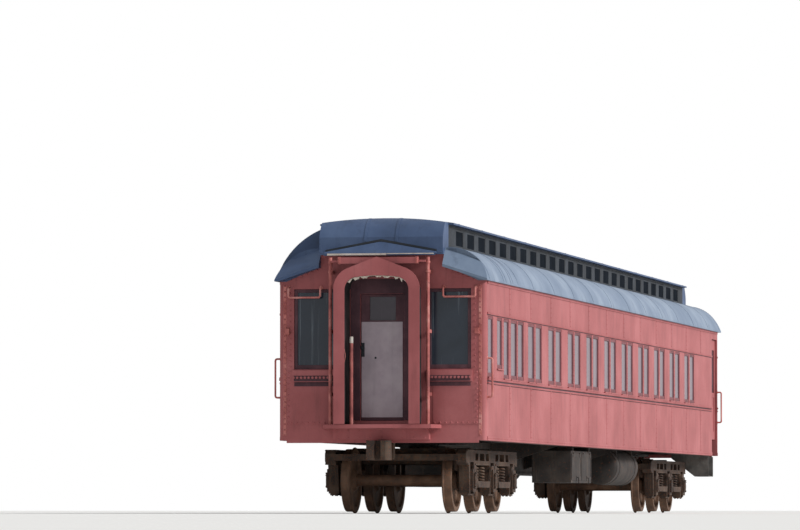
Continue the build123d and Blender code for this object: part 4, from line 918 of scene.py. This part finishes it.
# Torn lining that hangs from the head of the near opening. A rag is where it starts and ends, and its depth
torn = dict(
    y=-12.6255, wave=0.004, lean=0.005, gap=0.0015, thickness=0.0015, least=0.006, steps=5, fray=0.45,
    rags=[(-0.42, -0.35, 0.05), (-0.35, -0.24, 0.04), (-0.24, -0.11, 0.032),
    (-0.03, 0.08, 0.022), (0.08, 0.2, 0.03), (0.25, 0.32, 0.034), (0.345, 0.37, 0.05)],
    arcs=[((-0.425, 3.3), (-0.32, 3.366), (-0.3, 3.3695), 3), ((-0.32, 3.366), (0, 3.388), (0.32, 3.366), 90),
    ((0.32, 3.366), (0.375, 3.341), (0.425, 3.3), 8)])
s, drops = torn, []
first, middle, last = (arcLine(*arc) for arc in s["arcs"])
head = first[:-1] + middle[1:] + last[1:]
for x, z in head:
    drop = s["least"]
    for low, high, depth in s["rags"]:
        if low < x < high:
            share = min(1.0, 4 * (x - low) / (high - low), 4 * (high - x) / (high - low))
            drop = max(drop, depth * share * (1.0 + s["fray"] * noise.noise(Vector((x * 60, 0, 0)))))
    drops.append(drop)
points = []
for k in range(s["steps"] + 1):
    down = k / s["steps"]
    for (x, z), drop in zip(head, drops):
        wave = s["wave"] * noise.noise(Vector((x * 25, k * 0.5, 2.0)))
        points.append((x, s["y"] + (wave + s["lean"]) * down, z - s["gap"] - drop * down))
faces = gridFaces(s["steps"] + 1, len(head))
lining, area = softPiece("tornLining", points, faces, "bleachedCotton", s["thickness"])
print("diaphragms ready")

# White cap on the gate post
gateCap = dict(
    place=(-0.39, -12.5), outline=[(2.43, 0), (2.43, 0.0262), (2.516, 0.0262), (2.523, 0.02), (2.5235, 0)])
cap = lathe(gateCap["outline"], gateCap["place"], 2, 24)
shapePiece("gatePostCap", [cap], ("creamTrimAndHighlightPaint", "iron_paint"), 40)

# Clamps on the header beams, collars on the posts, and the bolts of both
header = dict(
    x=(0.545, 0.582), y=(12.471, 12.549), z=(3.558, 3.656), chamfer=0.004, bolts=(3.585, 3.63), radius=0.011,
    height=0.018)
post = dict(
    x=0.709, y=12.44, front=12.465, bolts=(1.735, 2.635, 3.485, 3.6), rise=0.004,
    collars=((3.565, 3.6), (3.432, 3.458)), radii=(0.03, 0.034))
shapePiece("headerClamps", boards(header["x"], header["y"], header["z"], header["chamfer"]), dappledPipeIron)
(small, large), rise, collars = post["radii"], post["rise"], []
for end, sign, (low, high) in itertools.product(signs, signs, post["collars"]):
    outline = [(low, 0), (low, small), (low + rise, large), (high - rise, large), (high, small), (high, 0)]
    collars.append(lathe(outline, (sign * post["x"], end * post["y"]), 2, 24))
shapePiece("postCollars", collars, dappledPipeIron, 30)
bolts = endPlaces(sum(header["x"]) / 2, header["y"][1], header["bolts"])
bolts += endPlaces(post["x"], post["front"], post["bolts"])
grow("headerBolts", "bolt", bolts, dappledPipeIron, header)

# Grab irons: bent round bar, a washer at each foot
iron = dict(
    radius=0.014, bend=0.03, levelX=(0.896, 1.362), levelZ=(3.235, 3.093), levelOut=0.06, uprightOut=0.075,
    uprightY=12.11, uprightZ=(2.2175, 1.6625), washer=[(skin, 0), (skin, 0.029), (0.0045, 0.029),
    (0.0065, 0.025), (0.0065, 0)])
shapes = []
for sign in signs:
    inner, outer = onSide(sign, *iron["levelX"])
    foot, low = iron["levelZ"]
    wall, out = -halfLength, -halfLength - iron["levelOut"]
    half = [(wall, foot), (out, foot), (out, low)]
    corners = [(inner, *pair) for pair in half] + [(outer, *pair) for pair in reversed(half)]
    shapes.append(tube(roundedPath(corners, iron["bend"]), iron["radius"], 14))
    shapes += [fitting(iron["washer"], -1, halfLength, (x, foot), 1, 20) for x in (inner, outer)]
    for end in signs:
        y, (high, low) = end * iron["uprightY"], iron["uprightZ"]
        wall, out = onSide(sign, halfWidth, halfWidth + iron["uprightOut"])
        corners = [(wall, y, high), (out, y, high), (out, y, low), (wall, y, low)]
        shapes.append(tube(roundedPath(corners, iron["bend"]), iron["radius"], 14))
        shapes += [fitting(iron["washer"], sign, halfWidth, (y, z), 0, 20) for z in (high, low)]
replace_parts(shapePiece("bentGrabIrons", shapes, barIron, 40), "grab_irons")

# A strip of the near opening's edge bent inwards, and dark strips of painted shade under and behind the ledge
# bolts
bent = dict(edge=-0.4664, z=(2.15, 2.34), depth=0.016, thickness=0.003, y=(-12.646, -12.631), steps=12)
shares = [k / bent["steps"] for k in range(bent["steps"] + 1)]
inner = [(bent["edge"] + bent["depth"] * math.sin(math.pi * share) ** 2, z)
         for share, z in zip(shares, spread(*bent["z"], (bent["z"][1] - bent["z"][0]) / bent["steps"]))]
outer = [(x + bent["thickness"], z) for x, z in inner]
shapePiece("bentEdgeStrip", [strap(inner, outer, 1, *bent["y"])], ("barIronAndHighlightPaint", "body_paint"), 40)
ledgeShade = dict(x=(0.645, 1.285), strips=(((1.822, 1.883), (0.0063, 0.0095)), ((1.893, 1.974), (0.0453, 0.0475))))
shapes = [board(onSide(sign, *ledgeShade["x"]), [-halfLength - v for v in out], z, thin)
          for z, out in ledgeShade["strips"] for sign in signs]
shapePiece("ledgeShadowStrips", shapes, sootAndShadeSheet)

# Angle strips down the corners, in the lighter iron paint as a painted highlight of the sunlit corner, lamp
# sockets on the marker brackets, and bolts and rivets of the end
corner = dict(x=(1.402, 1.446), z=(1.112, 3.272), out=0.004)
socket = dict(
    x=(1.352, 1.413), z=(2.565, 2.645), out=(0.0085, 0.0595), wall=0.006, plate=0.004, plateGap=0.0006)
bracket = dict(x=1.3825, out=0.008, z=(2.572, 2.638), radius=0.009, height=0.014)
strips = boards(corner["x"], (halfLength + skin, halfLength + corner["out"]), corner["z"], thin)
shapePiece("cornerHighlightStrips", strips, ("barIronAndHighlightPaint", "body_paint"))
(left, right), wall, plate = socket["x"], socket["wall"], socket["plate"]
near, far = (halfLength + out for out in socket["out"])
cover, shapes = far + socket["plateGap"], []
for x, y in (((left, left + wall), (near, far)), ((right - wall, right), (near, far)),
             ((left, right), (near, near + plate)), ((left, right), (cover, cover + plate))):
    shapes += boards(x, y, socket["z"], thin)
shapePiece("markerSockets", shapes, barIron)
bolts = endPlaces(bracket["x"], halfLength + bracket["out"], bracket["z"])
grow("bracketBolts", "bolt", bolts, barIron, bracket)
apron = dict(x=0.64, pitch=0.16, rows=(1.085, 1.185), out=0.12, radius=0.012, height=0.008)
rows = [(signs, (1,), halfLength + apron["out"], (-apron["x"], z), (apron["x"], z)) for z in apron["rows"]]
grow("apronRivets", "rivet", endRows(rows, apron["pitch"]), redSheet, apron)
print("end fittings ready")

# Joints of the duct: straps over its side and rounded shoulder
duct = dict(
    low=(1.548, 3.37), arc=((1.548, 3.604), (1.3229, 3.9029), (1.008, 4.105)), sunk=0.002, width=0.045,
    height=0.004, stations=(-11.4, 10.9, 1.85))
straps = crossStraps([duct["low"]] + arcLine(*duct["arc"], 16), spread(*duct["stations"]), duct)
straps = [([(-x, y, z) for x, y, z in points], faces) for points, faces in straps]
shapePiece("ductJoints", straps, shadedRoofSheet, 30)

# Wheels with their flange, tread, dished plate and hub, on an axle with its wheel seats
axle = dict(height=0.482, stations=(-1.6765, 0, 1.6765), centre=9.068)
halfAxle = [
    (1.06, 0), (1.06, 0.0575), (1.054, 0.063), (0.85, 0.063), (0.846, 0.08), (0.834, 0.085), (0.833, 0.128),
    (0.828, 0.134), (0.8, 0.138), (0.768, 0.15), (0.752, 0.175), (0.744, 0.25), (0.74, 0.32), (0.746, 0.36),
    (0.762, 0.38), (0.79, 0.3868), (0.8105, 0.3868), (0.8133, 0.39), (0.8133, 0.447), (0.811, 0.4535),
    (0.806, 0.456), (0.7165, 0.4575), (0.7115, 0.4592), (0.7075, 0.464), (0.704, 0.4715), (0.7, 0.478),
    (0.6945, 0.481), (0.689, 0.4815), (0.683, 0.479), (0.679, 0.4735), (0.6768, 0.466), (0.6767, 0.39),
    (0.68, 0.387), (0.695, 0.38), (0.708, 0.362), (0.713, 0.32), (0.715, 0.25), (0.711, 0.19), (0.703, 0.165),
    (0.688, 0.15), (0.668, 0.14), (0.6585, 0.134), (0.6545, 0.128), (0.6545, 0.095), (0.65, 0.0905),
    (0.61, 0.089), (0.585, 0.082), (0, 0.082)]
profile = halfAxle + [(-x, radius) for x, radius in reversed(halfAxle[:-1])]
for (end, name), (index, station) in itertools.product(ends, enumerate(axle["stations"], 1)):
    body = name + "_wheelset_" + str(index)
    turned = lathe(profile, (end * axle["centre"] + station, axle["height"]), 0, 64)
    piece = shapePiece(name + "Wheels" + str(index), [turned], ("rolledWheelSteel", "wheel_steel"), 32, body)
    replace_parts(piece, body)
print("wheels ready")

# Trucks: equaliser bars with coil springs, lids and bolts of the axle boxes, flanges along the side frames.
# A bar line is the half from one end: distance from the end and height
truck = dict(
    barX=0.965, reach=0.08, thickness=0.03, seat=0.47, beamBottom=0.7045, bend=0.05, barSpan=(0.06, 1.6765),
    springs=(-0.25, 0.25), radius=0.0575, wire=0.0145, turns=4.5, plate=0.006, plateGap=0.0002,
    saddle=(0.085, 0.04, 0.006), barLines=(((-0.04, 0.647), (0.19, 0.647), (0.33, 0.38)),
    ((-0.04, 0.702), (0.165, 0.702), (0.3, 0.47))))
box = dict(
    face=1.105, lidZ=0.475, pinZ=0.586, pinHalf=0.07, pinRadius=0.012, boltY=(-0.078, 0.078),
    boltZ=(0.392, 0.556), lid=[(skin, 0), (skin, 0.074), (0.006, 0.07), (0.0085, 0.055), (0.0085, 0)])
pedestal = dict(x=1.04, y=0.174, z=(0.4, 0.5, 0.6), radius=0.011, height=0.016)
tie = dict(x=(0.94, 0.99), y=0.171, z=0.265, radius=0.015, height=0.022)
flange = dict(
    x=(1.0403, 1.052), chamfer=0.004, spans=[((0.9, 0.925), -2.09, 2.09), ((0.706, 0.728), -2.09, -1.93),
    ((0.706, 0.728), -1.42, -0.26), ((0.706, 0.728), 0.26, 1.42), ((0.706, 0.728), 1.93, 2.09)])
for end, name in ends:
    centre, body = end * axle["centre"], name + "_truck"
    bars, coils, bolts, tieBolts, lids, flanges = [], [], [], [], [], []
    s = truck
    for sign, part in itertools.product(signs, repeat=2):
        first, last = sorted(centre + part * along for along in s["barSpan"])
        low, high = (roundedPath([(first + along, z) for along, z in half] +
                                 [(last - along, z) for along, z in reversed(half)], s["bend"])
                     for half in s["barLines"])
        for inside in (s["barX"] - s["reach"] - s["thickness"], s["barX"] + s["reach"]):
            bars.append(strap(low, high, 0, *onSide(sign, inside, inside + s["thickness"])))
        x, (long, deep, chamfer) = sign * s["barX"], s["saddle"]
        for offset in s["springs"]:
            y = (first + last) / 2 + offset
            bars.append(board(about(x, s["reach"]), about(y, long), (s["seat"] - deep, s["seat"]), chamfer))
            wide = s["radius"] + s["wire"]
            for z in (s["seat"], s["beamBottom"] - s["plate"]):
                bars.append(roundBar(z + s["plateGap"], z + s["plate"], wide, (x, y), 2, 28))
            coils.append(((x, y, s["seat"] + s["plate"] + s["wire"]), (0, 0, 1)))
    for sign, station in itertools.product(signs, axle["stations"]):
        y = centre + station
        lids.append(fitting(box["lid"], sign, box["face"], (y, box["lidZ"]), 0, 32))
        pin = (sign * box["face"], box["pinZ"])
        lids.append(roundBar(*about(y, box["pinHalf"]), box["pinRadius"], pin, 1))
        for off, z in itertools.product(box["boltY"], box["boltZ"]):
            bolts.append(((sign * box["face"], y + off, z), (sign, 0, 0)))
        for part in signs:
            tieBolts += [((sign * x, y + part * tie["y"], tie["z"]), (0, 0, -1)) for x in tie["x"]]
            x, off = sign * pedestal["x"], part * pedestal["y"]
            bolts += [((x, y + off, z), (sign, 0, 0)) for z in pedestal["z"]]
    for sign in signs:
        x = onSide(sign, *flange["x"])
        for z, low, high in flange["spans"]:
            flanges.append(board(x, (centre + low, centre + high), z, flange["chamfer"]))
    s["height"] = s["beamBottom"] - s["seat"] - 2 * s["plate"] - 2 * s["wire"]
    for piece in (shapePiece(name + "EqualiserBars", bars, truckSteel, 30, body),
                  grow(name + "EqualiserSprings", "coil", coils, truckSteel, s, body)):
        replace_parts(piece, name + "_equalisers")
    shapePiece(name + "AxleBoxLids", lids, truckSteel, 30, body)
    grow(name + "TruckBolts", "bolt", bolts, truckSteel, pedestal, body)
    grow(name + "TieBolts", "bolt", tieBolts, truckSteel, tie, body)
    shapePiece(name + "FrameFlanges", flanges, truckSteel, body=body)
print("trucks ready")

# Battery boxes: hinges, latches and their grips
battery = dict(
    face=1.39, spans=((-3.86, -2.925), (-2.875, -1.94)), top=0.94, hingeIn=0.15, pinHalf=0.05,
    pinRadius=0.009, out=0.004, leaf=(0.045, 0.06), latch=0.56, plate=(0.03, 0.05, 0.03), plateOut=0.005,
    gripOut=0.032, gripLong=0.1, gripBend=0.012, gripRadius=0.007)
shapes = []
for low, high in battery["spans"]:
    s = battery
    face, top, z = s["face"], s["top"], s["latch"]
    for y in (low + s["hingeIn"], high - s["hingeIn"]):
        half, long = s["leaf"]
        pin = (face + s["out"], top + s["out"])
        shapes.append(roundBar(*about(y, s["pinHalf"]), s["pinRadius"], pin, 1))
        shapes.append(board((face + skin, face + s["out"]), about(y, half), (top - long, top), thin))
    y, (half, under, over) = (low + high) / 2, s["plate"]
    shapes.append(board((face + skin, face + s["plateOut"]), about(y, half), (z - under, z + over), thin))
    grip = [(face + s["out"], y, z), (face + s["gripOut"], y, z), (face + s["gripOut"], y, z - s["gripLong"])]
    shapes.append(tube(roundedPath(grip, s["gripBend"]), s["gripRadius"], 10))
shapePiece("batteryBoxFittings", shapes, frameSteel, 30)

# Bands and domed heads of the tanks. A tank is the place of its axis, its radius and where it starts and ends
tanks = dict(
    all=((0.92, 0.77, 0.3, 1.9, 4.2), (-1.0, 0.77, 0.25, 1.9, 4.0)), bandIn=0.3, bandHalf=0.03, bandOut=0.006,
    head=[(skin, 0), (skin, 0.985), (0.015, 0.955), (0.035, 0.82), (0.052, 0.55), (0.06, 0.25), (0.062, 0)])
shapes = []
for x, z, radius, low, high in tanks["all"]:
    for y in (low + tanks["bandIn"], high - tanks["bandIn"]):
        y0, y1 = about(y, tanks["bandHalf"])
        r0, r1 = radius + skin, radius + tanks["bandOut"]
        shapes.append(lathe([(y0, r0), (y0, r1), (y1, r1), (y1, r0), (y0, r0)], (x, z), 1))
    head = [(along, share * radius) for along, share in tanks["head"]]
    shapes += [fitting(head, -1, -low, (x, z), 1, 48), fitting(head, 1, high, (x, z), 1, 48)]
shapePiece("tankBandsAndHeads", shapes, frameSteel, 35)

# Vestibule: ribs on the step treads and the traps, a knob on each side door. A step is its inner edge and top
tread = dict(
    steps=((0.758, 1.155), (0.973, 0.915), (1.188, 0.675)), x=(0.03, 0.23), y=(11.42, 12.0), rib=0.007,
    pitch=0.035, z=(0.0002, 0.0028), chamfer=0.0008)
trap = dict(x=(0.79, 1.4), y=(11.47, 11.98), z=(1.3252, 1.3272))
sideKnob = dict(
    face=1.4683, place=(11.455, 2.32), share=0.7, plateOut=0.003, y=(11.428, 11.482), z=(2.2, 2.38))
ribs = []
for sign, (inner, top) in itertools.product(signs, tread["steps"]):
    for x in spread(*(inner + along for along in tread["x"]), tread["pitch"]):
        ribs.append(board(onSide(sign, x, x + tread["rib"]), tread["y"], [top + z for z in tread["z"]],
                          tread["chamfer"]))
shapePiece("stepTreadRibs", ribs, treadSteel)
for sign, side in sides:
    ribs = [board(onSide(sign, *trap["x"]), (y, y + tread["rib"]), trap["z"], tread["chamfer"])
            for y in spread(*trap["y"], tread["pitch"])]
    shapePiece(side + "TrapRibs", ribs, treadSteel, body=side + "_trap_door")
    s = sideKnob
    small = [(s["share"] * along, radius) for along, radius in knob]
    shapes = [fitting(small, sign, s["face"], s["place"], 0, 24),
              board(onSide(sign, s["face"], s["face"] + s["plateOut"]), s["y"], s["z"], thin)]
    shapePiece(side + "DoorKnob", shapes, sootyLatch, 30, side + "_vestibule_door")
print("under floor and vestibule ready")
